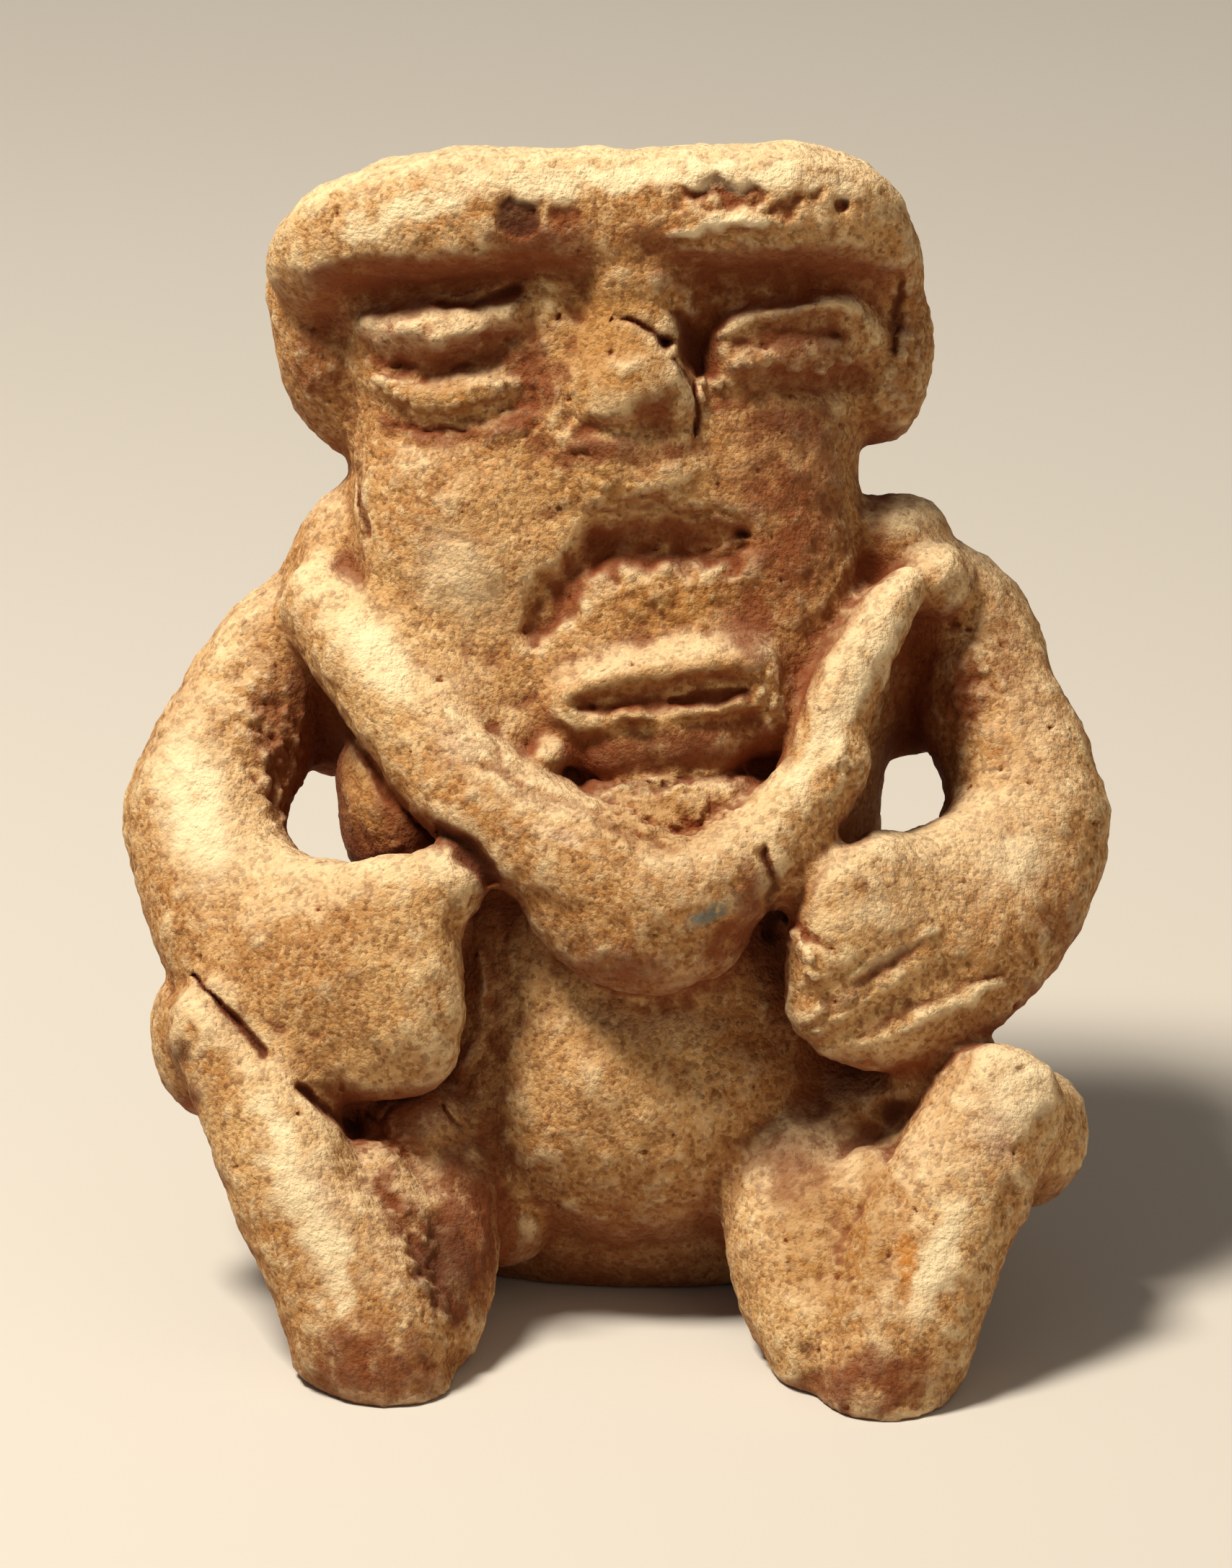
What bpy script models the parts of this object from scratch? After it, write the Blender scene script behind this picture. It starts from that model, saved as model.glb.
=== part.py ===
"""A hand-modelled clay figurine that sits with its knees drawn up and its hands on its belly.

It is one lump of fired clay. The maker pressed rolled limbs, a collar and a heavy brow onto a body,
smoothed them together, and cut the eyes, the mouth and the fingers with a stick.

The figurine leans back a little, and its forms are laid out along that lean: across to its left,
up along the lean, and out towards the front. One unit of this layout is a 110th of its length, so
that the whole figure keeps its proportions when the length changes.
"""

import math

import bmesh
import bpy
import numpy as np
from mathutils import Matrix, Vector

# Driving sizes, in metres and degrees
FIGURE_LENGTH = 0.110
LEAN_DEG = 20.0

# The layout, in units of length / 110
LAYOUT_LENGTH = 110.0
UNIT = FIGURE_LENGTH / LAYOUT_LENGTH
TOE_UP = 1.5
TOE_OUT = 27.0
SEAT_OUT = -16.0
SNAP = 0.02

# How finely the clay is worked
CLAY_GRAIN = 0.6
SOFTNESS = 0.5
BLEND_PASSES = 14
FINGER_PASSES = 4
RING_SIDES = 28
RING_STEPS = 6
CAP_STEPS = 4
STROKE_STEPS = 8
FADE = 3.0

# How the facets are shared out: the back is plainest and the strokes least plain
FACETS = 9800
STROKE_CARE = 0.03
BACK_FACING = -0.2
BACK_PLAINNESS = 1.0
FRONT_PLAINNESS = 0.8
STROKE_PLAINNESS = 0.1
STROKE_EDGE = 0.05

# Rolled and pressed forms. A row is across, up, out, half width and half depth.
TORSO = (
    (0.0, 9.0, -21.0, 15.0, 8.5),
    (0.5, 17.0, -15.0, 19.5, 11.5),
    (1.0, 25.0, -8.0, 21.5, 15.5),
    (1.0, 36.0, -4.5, 22.0, 17.0),
    (0.0, 47.0, -4.0, 22.8, 15.5),
    (0.0, 56.0, -4.0, 23.2, 15.0),
    (0.0, 64.0, -4.0, 25.5, 14.0),
    (0.0, 71.0, -4.0, 26.5, 11.5),
    (0.0, 76.0, -4.0, 22.0, 9.0),
)
HEAD = (
    (1.0, 54.0, 1.0, 13.0, 11.0),
    (0.5, 60.0, 0.5, 18.5, 12.0),
    (-0.5, 68.0, 0.0, 22.0, 12.5),
    (-1.0, 78.0, 0.0, 21.8, 12.5),
    (-1.0, 88.0, 0.0, 22.0, 12.0),
    (-1.5, 96.0, -0.5, 24.5, 12.0),
    (-0.8, 102.0, -1.0, 25.0, 12.5),
    (-0.4, 106.3, -1.0, 21.8, 11.5),
)
BROW = (
    (-26.4, 99.2, 4.5, 3.8, 4.5),
    (-23.0, 102.3, 8.5, 4.8, 5.5),
    (-14.0, 103.9, 11.0, 5.4, 5.5),
    (-3.0, 104.3, 11.5, 5.0, 5.0),
    (8.0, 104.7, 11.5, 5.0, 5.2),
    (16.5, 104.8, 10.0, 5.0, 5.5),
    (21.2, 102.7, 6.5, 4.2, 5.0),
    (23.2, 98.0, 1.5, 3.2, 4.0),
)
NOSE = (
    (1.6, 101.0, 9.5, 4.4, 4.0),
    (1.4, 95.5, 10.4, 4.8, 4.0),
    (1.4, 91.0, 11.4, 5.4, 4.0),
    (1.6, 87.6, 12.2, 5.8, 3.8),
)
COLLAR = (
    (-25.5, 71.0, 3.0, 3.6, 4.5),
    (-21.5, 65.5, 7.5, 4.0, 5.0),
    (-17.0, 59.5, 10.0, 4.6, 5.2),
    (-12.0, 54.6, 12.5, 5.0, 5.2),
    (-6.0, 50.2, 14.5, 5.3, 5.5),
    (0.0, 47.0, 16.0, 5.6, 5.8),
    (4.5, 45.6, 16.5, 5.2, 5.8),
    (9.5, 47.4, 15.5, 4.7, 5.4),
    (13.8, 51.0, 14.0, 4.2, 5.0),
    (17.2, 55.6, 12.5, 3.6, 4.6),
    (18.4, 61.0, 11.5, 3.1, 4.4),
    (21.0, 66.6, 9.0, 2.8, 4.4),
    (24.4, 71.4, 4.5, 2.2, 4.4),
)
PENDANT = (
    (-3.0, 46.4, 14.5, 5.6, 5.0),
    (2.5, 43.2, 15.5, 6.2, 5.5),
    (7.2, 43.0, 14.5, 4.6, 5.0),
)
ARM_OF_RIGHT_SIDE = (
    (-25.2, 69.6, -4.0, 5.5, 7.0),
    (-29.0, 65.8, -4.0, 6.4, 7.0),
    (-32.4, 59.4, -2.0, 6.9, 6.5),
    (-35.4, 53.0, 1.0, 6.9, 6.5),
    (-33.6, 46.0, 5.0, 7.2, 6.5),
    (-29.2, 41.2, 9.5, 8.8, 6.0),
    (-22.8, 38.6, 13.5, 10.2, 5.0),
    (-16.4, 39.2, 16.0, 10.0, 4.4),
)
ARM_OF_LEFT_SIDE = (
    (24.5, 72.0, -4.0, 5.0, 7.0),
    (29.6, 69.4, -4.0, 5.8, 7.0),
    (32.2, 62.0, -2.0, 6.3, 6.5),
    (35.3, 54.2, 1.0, 6.9, 6.5),
    (33.2, 47.0, 5.0, 8.0, 6.5),
    (27.2, 42.3, 10.0, 9.7, 6.0),
    (21.5, 41.0, 14.0, 10.6, 4.8),
    (17.4, 41.6, 15.5, 8.6, 4.0),
)
THIGH_OF_RIGHT_SIDE = (
    (-12.0, 22.0, -6.0, 9.0, 9.0),
    (-20.0, 25.0, 1.0, 8.5, 8.5),
    (-27.0, 29.5, 6.5, 7.0, 7.0),
    (-33.0, 34.0, 9.5, 5.0, 6.0),
)
THIGH_OF_LEFT_SIDE = (
    (12.0, 22.0, -6.0, 9.0, 9.0),
    (21.0, 24.0, 1.0, 8.5, 8.5),
    (28.5, 26.0, 8.0, 7.0, 7.5),
    (32.5, 27.0, 12.0, 6.0, 6.0),
)
SHIN_OF_RIGHT_SIDE = (
    (-33.6, 34.4, 11.5, 4.6, 5.5),
    (-29.3, 26.4, 13.5, 5.4, 6.5),
    (-26.2, 19.3, 15.5, 5.9, 6.8),
    (-22.8, 13.7, 16.5, 6.8, 7.0),
    (-20.2, 8.0, 18.0, 7.2, 6.5),
    (-19.0, 4.5, 18.5, 5.6, 5.8),
)
SHIN_OF_LEFT_SIDE = (
    (32.6, 27.6, 14.5, 5.8, 5.5),
    (29.3, 21.5, 16.5, 6.2, 6.5),
    (25.5, 14.0, 18.5, 6.6, 7.0),
    (23.0, 6.0, 20.5, 6.3, 6.5),
    (22.6, 3.0, 21.0, 5.6, 6.0),
)
CALF_OF_RIGHT_SIDE = (
    (-16.5, 22.5, 4.0, 7.5, 9.0),
    (-16.3, 15.0, 10.5, 6.4, 7.5),
    (-16.6, 10.0, 15.0, 5.6, 6.0),
)
CALF_OF_LEFT_SIDE = (
    (15.5, 21.0, 5.0, 7.0, 8.0),
    (16.8, 14.0, 12.0, 7.0, 7.5),
    (18.6, 8.2, 17.5, 6.3, 6.0),
)

# Each form with how square its rings are and how far its ends round off
LOFTS = (
    (TORSO, 2.3, 0.6),
    (HEAD, 3.2, 0.2),
    (BROW, 2.6, 0.8),
    (NOSE, 2.0, 0.8),
    (COLLAR, 2.2, 0.8),
    (PENDANT, 2.2, 1.0),
    (ARM_OF_RIGHT_SIDE, 2.2, 0.8),
    (ARM_OF_LEFT_SIDE, 2.2, 0.8),
    (THIGH_OF_RIGHT_SIDE, 2.0, 1.0),
    (THIGH_OF_LEFT_SIDE, 2.0, 1.0),
    (SHIN_OF_RIGHT_SIDE, 2.2, 1.0),
    (SHIN_OF_LEFT_SIDE, 2.2, 1.0),
    (CALF_OF_RIGHT_SIDE, 2.0, 1.0),
    (CALF_OF_LEFT_SIDE, 2.0, 1.0),
)

# Pressed-on lumps. A row is the centre, the three half sizes and the turn in degrees about out.
LUMPS = (
    # ears
    ((-25.2, 93.0, -1.0), (4.3, 9.8, 7.0), 17.0),
    ((23.0, 92.3, -1.0), (4.4, 8.0, 7.0), -4.0),
    # shoulders
    ((-23.0, 75.0, -2.0), (5.0, 7.0, 7.0), -28.0),
    ((24.0, 75.8, -2.5), (5.2, 4.8, 7.0), 10.0),
    ((27.0, 73.0, -2.5), (5.6, 4.2, 6.6), -35.0),
    ((29.8, 72.5, -3.0), (3.0, 3.4, 4.5), 0.0),
    # belly
    ((1.0, 30.0, 2.5), (17.0, 14.5, 11.5), 0.0),
    # knobs beside the knees
    ((-36.0, 32.8, 6.0), (3.6, 6.2, 5.0), 8.0),
    ((35.6, 25.0, 9.0), (4.6, 6.2, 5.5), -10.0),
    # thumb, elbow flake and the thick place in the collar
    ((-14.6, 46.2, 15.5), (3.6, 3.8, 4.0), -20.0),
    ((34.0, 38.4, 4.0), (2.6, 2.4, 3.4), 0.0),
    ((18.4, 57.2, 12.5), (3.4, 4.4, 4.6), 0.0),
    # webs that close the armpits
    ((-25.5, 64.0, -6.0), (6.5, 8.5, 5.0), 20.0),
    ((26.5, 66.5, -6.0), (6.5, 9.0, 5.0), -15.0),
    # lump under the nose and the cheek of the right side
    ((2.4, 81.6, 10.5), (6.6, 3.2, 3.6), 0.0),
    ((-11.5, 76.0, 5.5), (11.0, 14.0, 7.8), 12.0),
)


def along(stations, steps):
    """Points of a smooth Catmull-Rom curve through the stations, all five values at once."""
    rows = np.array(stations, float)
    padded = np.vstack([2 * rows[0] - rows[1], rows, 2 * rows[-1] - rows[-2]])
    found = []
    for a, b, c, d in zip(padded, padded[1:], padded[2:], padded[3:]):
        for t in np.arange(steps) / steps:
            found.append(
                0.5 * (2 * b + (c - a) * t + (2 * a - 5 * b + 4 * c - d) * t**2)
                + 0.5 * (3 * b - a - 3 * c + d) * t**3
            )
    return np.array(found + [rows[-1]])


def ring_frame(direction):
    """The two axes of a ring around this direction: one in the figure's plane, one through it."""
    out = Vector((0.0, 0.0, 1.0))
    side = direction.cross(out)
    side = side.normalized() if side.length > 1e-6 else Vector((1.0, 0.0, 0.0))
    return side, side.cross(direction).normalized()


def capped(rows, roundness):
    """The rows with a cap added before the first and after the last."""
    ends = []
    for end, neighbour in ((rows[0], rows[1]), (rows[-1], rows[-2])):
        beyond = end[:3] - neighbour[:3]
        beyond = beyond / np.linalg.norm(beyond)
        reach = min(end[3], end[4]) * roundness
        cap = []
        for step in range(1, CAP_STEPS + 1):
            turn = step / (CAP_STEPS + 0.5) * math.pi / 2
            place = end[:3] + beyond * reach * math.sin(turn)
            cap.append(np.append(place, end[3:] * math.cos(turn)))
        ends.append(cap)
    return np.array(ends[0][::-1] + list(rows) + ends[1])


def add_loft(clay, stations, square, roundness):
    """Adds one closed form through elliptical rings, squarer the higher the exponent is."""
    rows = along(stations, RING_STEPS)
    first = Vector(rows[1][:3] - rows[0][:3]).normalized()
    last = Vector(rows[-1][:3] - rows[-2][:3]).normalized()
    directions = np.gradient(rows[:, :3], axis=0)
    directions = [first] * CAP_STEPS + [Vector(d).normalized() for d in directions]
    directions += [last] * CAP_STEPS
    rings = []
    for row, direction in zip(capped(rows, roundness), directions):
        side, through = ring_frame(direction)
        ring = []
        for step in range(RING_SIDES):
            turn = 2 * math.pi * step / RING_SIDES
            x = math.copysign(abs(math.cos(turn)) ** (2 / square), math.cos(turn))
            y = math.copysign(abs(math.sin(turn)) ** (2 / square), math.sin(turn))
            place = Vector(row[:3]) + side * (x * row[3]) + through * (y * row[4])
            ring.append(clay.verts.new(place))
        rings.append(ring)
    for ring, beyond in zip(rings, rings[1:]):
        for step in range(RING_SIDES):
            ahead = (step + 1) % RING_SIDES
            clay.faces.new((ring[step], ring[ahead], beyond[ahead], beyond[step]))
    clay.faces.new(rings[0][::-1])
    clay.faces.new(rings[-1])


def add_lump(clay, centre, half_sizes, turn_deg):
    """Adds one ellipsoid."""
    place = Matrix.Translation(centre) @ Matrix.Rotation(math.radians(turn_deg), 4, "Z")
    place = place @ Matrix.Diagonal((*half_sizes, 1.0))
    bmesh.ops.create_icosphere(clay, subdivisions=4, radius=1.0, matrix=place)


# Strokes of the thumb and the stick. Each has a path of (across, up, half width) points on the
# front, a rise (negative where it cuts), an edge (1 is round, small is steep) and the lowest out.
STROKES = (
    # hollows under the brow
    (((-23.5, 98.4, 1.6), (-16.0, 98.2, 2.2), (-8.0, 99.0, 1.6)), -1.0, 1.0, 4.0),
    (((7.5, 98.2, 2.6), (14.0, 98.0, 2.8), (22.5, 97.6, 2.4)), -1.2, 1.0, 2.0),
    # bridge that joins the brow to the nose
    (((-7.0, 98.2, 2.6), (0.0, 98.6, 3.6), (5.5, 98.2, 2.6)), 1.4, 1.0, 4.0),
    # lids and slit of the eye of the right side
    (((-21.5, 94.4, 1.8), (-15.5, 94.4, 2.4), (-9.5, 95.4, 2.0)), 1.9, 0.7, 4.0),
    (((-20.0, 91.2, 1.4), (-15.0, 90.8, 1.6), (-9.0, 92.0, 1.4)), -1.0, 1.0, 4.0),
    (((-20.5, 89.4, 1.4), (-15.5, 88.0, 1.9), (-9.5, 89.6, 1.6)), 1.2, 0.8, 4.0),
    (((-19.5, 86.0, 1.6), (-14.0, 84.8, 2.0), (-8.0, 86.8, 1.6)), -1.0, 1.0, 4.0),
    # ring and slit of the eye of the left side
    (((10.2, 92.4, 2.6), (15.0, 93.4, 3.2), (19.6, 94.2, 3.4)), 2.2, 0.5, 2.0),
    (((11.5, 93.2, 1.4), (15.0, 93.8, 1.9), (18.6, 94.4, 2.0)), -1.3, 1.0, 2.0),
    # both sides of the nose, with the broken pocket
    (((7.6, 98.5, 1.8), (7.4, 94.5, 2.2), (6.6, 92.2, 2.0), (7.8, 88.6, 1.6)), -2.0, 1.0, 4.0),
    (((-7.0, 94.0, 1.6), (-6.6, 89.0, 2.0), (-7.0, 85.0, 1.6)), -0.8, 1.0, 4.0),
    # broken tip and underside of the nose
    (((2.5, 85.6, 2.2), (5.2, 87.2, 2.8)), -1.2, 1.0, 4.0),
    (((-4.0, 85.6, 1.4), (0.5, 84.4, 1.6), (6.0, 84.2, 1.4)), -1.0, 1.0, 4.0),
    # sunk lip under the nose
    (((-7.4, 68.3, 1.8), (-5.4, 71.5, 2.2), (-2.2, 75.2, 2.6)), -1.5, 1.0, 4.0),
    (((-1.0, 76.2, 2.6), (4.0, 76.0, 3.2), (10.3, 76.0, 2.6)), -2.2, 1.0, 4.0),
    (((1.0, 71.0, 4.5), (5.5, 71.0, 6.0), (10.5, 70.5, 4.5)), -1.0, 1.0, 4.0),
    # mouth: its mound, its slit and the face of the lower lip
    (((-3.4, 62.0, 3.4), (4.0, 63.4, 4.4), (11.0, 64.4, 4.2)), 2.8, 0.45, 4.0),
    (((-3.0, 62.3, 1.2), (4.0, 63.0, 1.5), (10.8, 63.9, 1.5)), -1.4, 1.0, 4.0),
    (((-4.6, 57.0, 2.4), (3.5, 56.2, 3.6), (12.0, 58.4, 2.8)), -2.4, 1.0, 4.0),
    # soft valley between the cheek and the collar
    (((-21.0, 71.0, 2.2), (-14.5, 64.5, 3.4), (-9.0, 59.5, 2.6)), 1.4, 1.0, 2.0),
    # fingers of the left hand
    (((15.0, 36.6, 1.1), (20.0, 38.8, 1.4), (25.5, 41.8, 0.9)), -0.9, 1.0, 8.0),
    (((17.0, 33.0, 1.1), (22.5, 36.2, 1.4), (30.0, 40.0, 0.9)), -1.0, 1.0, 8.0),
    # slits between the forearms and the knees
    (((-36.6, 38.4, 1.0), (-33.0, 35.4, 1.3), (-29.6, 31.8, 1.0)), -1.6, 1.0, 0.0),
    (((-26.8, 29.4, 1.0), (-22.2, 26.4, 1.4), (-20.0, 23.5, 1.6)), -1.6, 1.0, 0.0),
    (((21.5, 26.0, 1.6), (25.0, 27.2, 2.0), (30.0, 31.5, 1.2)), -1.8, 1.0, 0.0),
    # folds between the thighs, the calves and the shins
    (((-20.5, 24.5, 1.4), (-17.8, 19.5, 1.8), (-14.5, 14.5, 1.4)), -1.2, 1.0, 2.0),
    (((21.0, 24.0, 1.2), (23.5, 19.0, 1.6), (22.8, 14.0, 1.2)), -0.9, 1.0, 2.0),
)


def nearness(places, path):
    """1 on the path, falling to 0 at its half width, and the half width as a share of its most."""
    line = along(path, STROKE_STEPS)
    near = np.zeros(len(places))
    size = np.ones(len(places))
    widest = line[:, 2].max()
    for start, end in zip(line, line[1:]):
        span = end[:2] - start[:2]
        offset = places[:, :2] - start[:2]
        share = np.clip(offset @ span / (span @ span), 0.0, 1.0)
        away = np.hypot(*(offset - share[:, None] * span).T)
        half_width = start[2] + share * (end[2] - start[2])
        nearer = np.clip(1.0 - away / half_width, 0.0, 1.0)
        size = np.where(nearer > near, half_width / widest, size)
        near = np.maximum(near, nearer)
    return near, size


def raise_strokes(places, normals):
    """How far each place moves out under all the strokes together, and how much it is worked."""
    moved = np.zeros(len(places))
    worked = np.zeros(len(places))
    facing = np.clip(normals[:, 2] * 2.0, 0.0, 1.0)
    for path, rise, edge, lowest in STROKES:
        near, size = nearness(places, path)
        share = np.clip(near / edge, 0.0, 1.0)
        share = share**2 * (3 - 2 * share)
        share *= facing * np.clip((places[:, 2] - lowest) / FADE, 0.0, 1.0)
        moved += rise * size * share
        worked = np.maximum(worked, near * (facing > 0))
    return moved, worked


def press_together(clay):
    """One skin around all the forms, smoothed where they meet, in layout units."""
    mesh = bpy.data.meshes.new("raw_clay")
    clay.to_mesh(mesh)
    clay.free()
    raw = bpy.data.objects.new("raw_clay", mesh)
    bpy.context.scene.collection.objects.link(raw)
    fuse = raw.modifiers.new("fuse", "REMESH")
    fuse.mode = "VOXEL"
    fuse.voxel_size = CLAY_GRAIN
    smooth = raw.modifiers.new("smooth", "SMOOTH")
    smooth.factor = SOFTNESS
    smooth.iterations = BLEND_PASSES
    graph = bpy.context.evaluated_depsgraph_get()
    fused = bpy.data.meshes.new_from_object(raw.evaluated_get(graph))
    bpy.data.objects.remove(raw)
    return fused


def work_surface(mesh):
    """Cuts and raises the strokes, and gives how much each place is worked and how far it faces out."""
    count = len(mesh.vertices)
    places = np.empty(count * 3)
    normals = np.empty(count * 3)
    mesh.vertices.foreach_get("co", places)
    mesh.vertices.foreach_get("normal", normals)
    places = places.reshape(-1, 3)
    moved, worked = raise_strokes(places, normals.reshape(-1, 3))
    places[:, 2] += moved
    mesh.vertices.foreach_set("co", places.ravel())
    mesh.update()
    return worked, normals[2::3]


def thin_out(mesh, worked, facing):
    """The same skin, softened as a wet finger would, with larger facets where it is plain."""
    fine = bpy.data.objects.new("fine_clay", mesh)
    bpy.context.scene.collection.objects.link(fine)
    soften = fine.modifiers.new("soften", "SMOOTH")
    soften.factor = SOFTNESS
    soften.iterations = FINGER_PASSES
    plain = fine.vertex_groups.new(name="plain")
    back = facing < BACK_FACING
    strokes = ~back & (worked > STROKE_EDGE)
    front = ~back & ~strokes
    shares = ((back, BACK_PLAINNESS), (front, FRONT_PLAINNESS), (strokes, STROKE_PLAINNESS))
    for chosen, plainness in shares:
        plain.add(np.flatnonzero(chosen).tolist(), plainness, "REPLACE")
    thin = fine.modifiers.new("thin", "DECIMATE")
    thin.vertex_group = plain.name
    thin.vertex_group_factor = STROKE_CARE
    mesh.calc_loop_triangles()
    thin.ratio = FACETS / len(mesh.loop_triangles)
    graph = bpy.context.evaluated_depsgraph_get()
    thinned = bpy.data.meshes.new_from_object(fine.evaluated_get(graph))
    bpy.data.objects.remove(fine)
    return thinned


def layout_to_world():
    """Lays the leaning layout in the world: metres, up is +Z, and the front looks along -Y.

    The ground runs through the toes, and the origin is on it, under the middle of the seat.
    """
    lean = math.radians(LEAN_DEG)
    ground = TOE_UP * math.cos(lean) + TOE_OUT * math.sin(lean)
    seat_up = (ground - SEAT_OUT * math.sin(lean)) / math.cos(lean)
    turned = Matrix.Rotation(math.pi / 2 - lean, 4, "X")
    seat = turned @ Vector((0.0, seat_up, SEAT_OUT))
    return Matrix.Scale(UNIT, 4) @ Matrix.Translation(-seat) @ turned


def cut_flat(shape):
    """Cuts the seat and the soles flat on the ground."""
    everything = shape.verts[:] + shape.edges[:] + shape.faces[:]
    bmesh.ops.bisect_plane(
        shape,
        geom=everything,
        dist=SNAP * UNIT,
        plane_co=(0, 0, 0),
        plane_no=(0, 0, -1),
        clear_outer=True,
    )
    rims = [edge for edge in shape.edges if edge.is_boundary]
    bmesh.ops.holes_fill(shape, edges=rims, sides=0)
    bmesh.ops.triangulate(shape, faces=[face for face in shape.faces if len(face.verts) > 3])


def clay_material():
    """Buff fired clay, dull and sandy."""
    material = bpy.data.materials.new("fired_clay")
    material.use_nodes = True
    shader = material.node_tree.nodes["Principled BSDF"]
    shader.inputs["Base Color"].default_value = (0.55, 0.33, 0.15, 1.0)
    shader.inputs["Roughness"].default_value = 0.95
    shader.inputs["Metallic"].default_value = 0.0
    return material


def build_statuette():
    """The whole figurine, as one solid."""
    clay = bmesh.new()
    for stations, square, roundness in LOFTS:
        add_loft(clay, stations, square, roundness)
    for centre, half_sizes, turn_deg in LUMPS:
        add_lump(clay, centre, half_sizes, turn_deg)
    bmesh.ops.recalc_face_normals(clay, faces=clay.faces[:])
    mesh = press_together(clay)
    worked, facing = work_surface(mesh)
    mesh = thin_out(mesh, worked, facing)
    shape = bmesh.new()
    shape.from_mesh(mesh)
    shape.transform(layout_to_world())
    cut_flat(shape)
    shape.to_mesh(mesh)
    shape.free()
    mesh.name = "statuette"
    mesh.shade_smooth()
    mesh.materials.clear()
    mesh.materials.append(clay_material())
    statuette = bpy.data.objects.new("statuette", mesh)
    bpy.context.scene.collection.objects.link(statuette)
    return statuette


def main():
    for old in list(bpy.data.objects):
        bpy.data.objects.remove(old)
    build_statuette()


main()
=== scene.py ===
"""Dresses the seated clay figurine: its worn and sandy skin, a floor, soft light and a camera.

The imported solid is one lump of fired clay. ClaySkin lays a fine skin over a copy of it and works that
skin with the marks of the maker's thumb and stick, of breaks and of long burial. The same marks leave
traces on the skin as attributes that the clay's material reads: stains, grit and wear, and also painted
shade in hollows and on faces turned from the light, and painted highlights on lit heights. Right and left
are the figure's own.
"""

import logging
import math
from dataclasses import dataclass, fields
from enum import Enum
from typing import Any

import bmesh
import bpy
import numpy as np
from mathutils import Matrix, Vector, noise
from mathutils.bvhtree import BVHTree

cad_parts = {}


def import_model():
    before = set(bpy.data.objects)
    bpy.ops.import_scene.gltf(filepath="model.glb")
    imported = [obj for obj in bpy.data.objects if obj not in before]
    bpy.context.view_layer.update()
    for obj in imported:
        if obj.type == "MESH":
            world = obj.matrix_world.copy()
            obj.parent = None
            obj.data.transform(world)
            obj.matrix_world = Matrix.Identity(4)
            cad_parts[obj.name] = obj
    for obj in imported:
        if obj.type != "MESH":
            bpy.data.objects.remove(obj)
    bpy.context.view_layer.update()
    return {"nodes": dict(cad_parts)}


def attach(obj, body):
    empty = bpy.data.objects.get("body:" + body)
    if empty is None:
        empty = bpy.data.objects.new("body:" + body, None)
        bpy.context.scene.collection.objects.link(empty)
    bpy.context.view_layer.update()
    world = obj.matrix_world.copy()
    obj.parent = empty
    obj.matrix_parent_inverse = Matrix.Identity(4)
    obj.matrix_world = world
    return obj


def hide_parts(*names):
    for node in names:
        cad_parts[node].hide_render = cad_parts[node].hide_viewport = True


LOG = logging.getLogger("figurine")
NODE = "statuette"
MM = 0.001


class Trace(Enum):
    """What a mark leaves on the clay besides its shape, such as a stain, grit, wear, painted shade or a
    painted highlight. Each is an attribute of the skin.
    """

    NONE = "none"
    HOLLOW = "hollow"
    WORN = "worn"
    OCHRE = "ochre"
    RED = "red"
    BROWN = "brown"
    GREY = "grey"
    RUST = "rust"
    BLUE = "blue"
    GRIT = "grit"


@dataclass(frozen=True)
class Layout:
    """The leaning frame of the figure: across to its left, up along the lean, and out to the front.

    Lengths are millimetres. A place as seen is where the camera sees it, on the plane of no out.
    """

    lean: float = math.radians(20.0)
    toe_up: float = 1.5
    toe_out: float = 27.0
    seat_out: float = -16.0
    sight_up: float = 55.2
    sight_out: float = 1000.0
    frame_height: float = 135.0

    def to_world(self) -> Matrix:
        """Gives the matrix that takes the layout to the row frame, in metres, with the ground at z = 0."""
        ground = self.toe_up * math.cos(self.lean) + self.toe_out * math.sin(self.lean)
        seat_up = (ground - self.seat_out * math.sin(self.lean)) / math.cos(self.lean)
        turned = Matrix.Rotation(math.pi / 2 - self.lean, 4, "X")
        seat = turned @ Vector((0.0, seat_up, self.seat_out))
        return Matrix.Scale(MM, 4) @ Matrix.Translation(-seat) @ turned

    def as_seen(self, places: np.ndarray) -> np.ndarray:
        """Moves places along the lines of sight onto the plane of no out.

        Args:
            places: Rows of across, up and out.

        Returns:
            Rows of across and up as the camera sees them.
        """
        centre = np.array([0.0, self.sight_up])
        nearer = 1.0 - places[:, 2:3] / self.sight_out
        return centre + (places[:, :2] - centre) / nearer


def smooth_step(value: np.ndarray) -> np.ndarray:
    """Eases values from 0 to 1 and holds them there outside."""
    share = np.clip(value, 0.0, 1.0)
    return share**2 * (3.0 - 2.0 * share)


def through(stations: tuple[tuple[float, ...], ...], steps: int = 6) -> np.ndarray:
    """Runs a smooth curve through stations.

    Args:
        stations: Points of any number of values each.
        steps: Points of the curve between two stations.

    Returns:
        The curve's points as rows.
    """
    rows = np.array(stations, float)
    padded = np.vstack([2 * rows[0] - rows[1], rows, 2 * rows[-1] - rows[-2]])
    found = []
    for a, b, c, d in zip(padded, padded[1:], padded[2:], padded[3:]):
        for t in np.arange(steps) / steps:
            bend = (2 * a - 5 * b + 4 * c - d) * t**2 + (3 * b - a - 3 * c + d) * t**3
            found.append(b + 0.5 * (c - a) * t + 0.5 * bend)
    return np.array(found + [rows[-1]])


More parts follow.
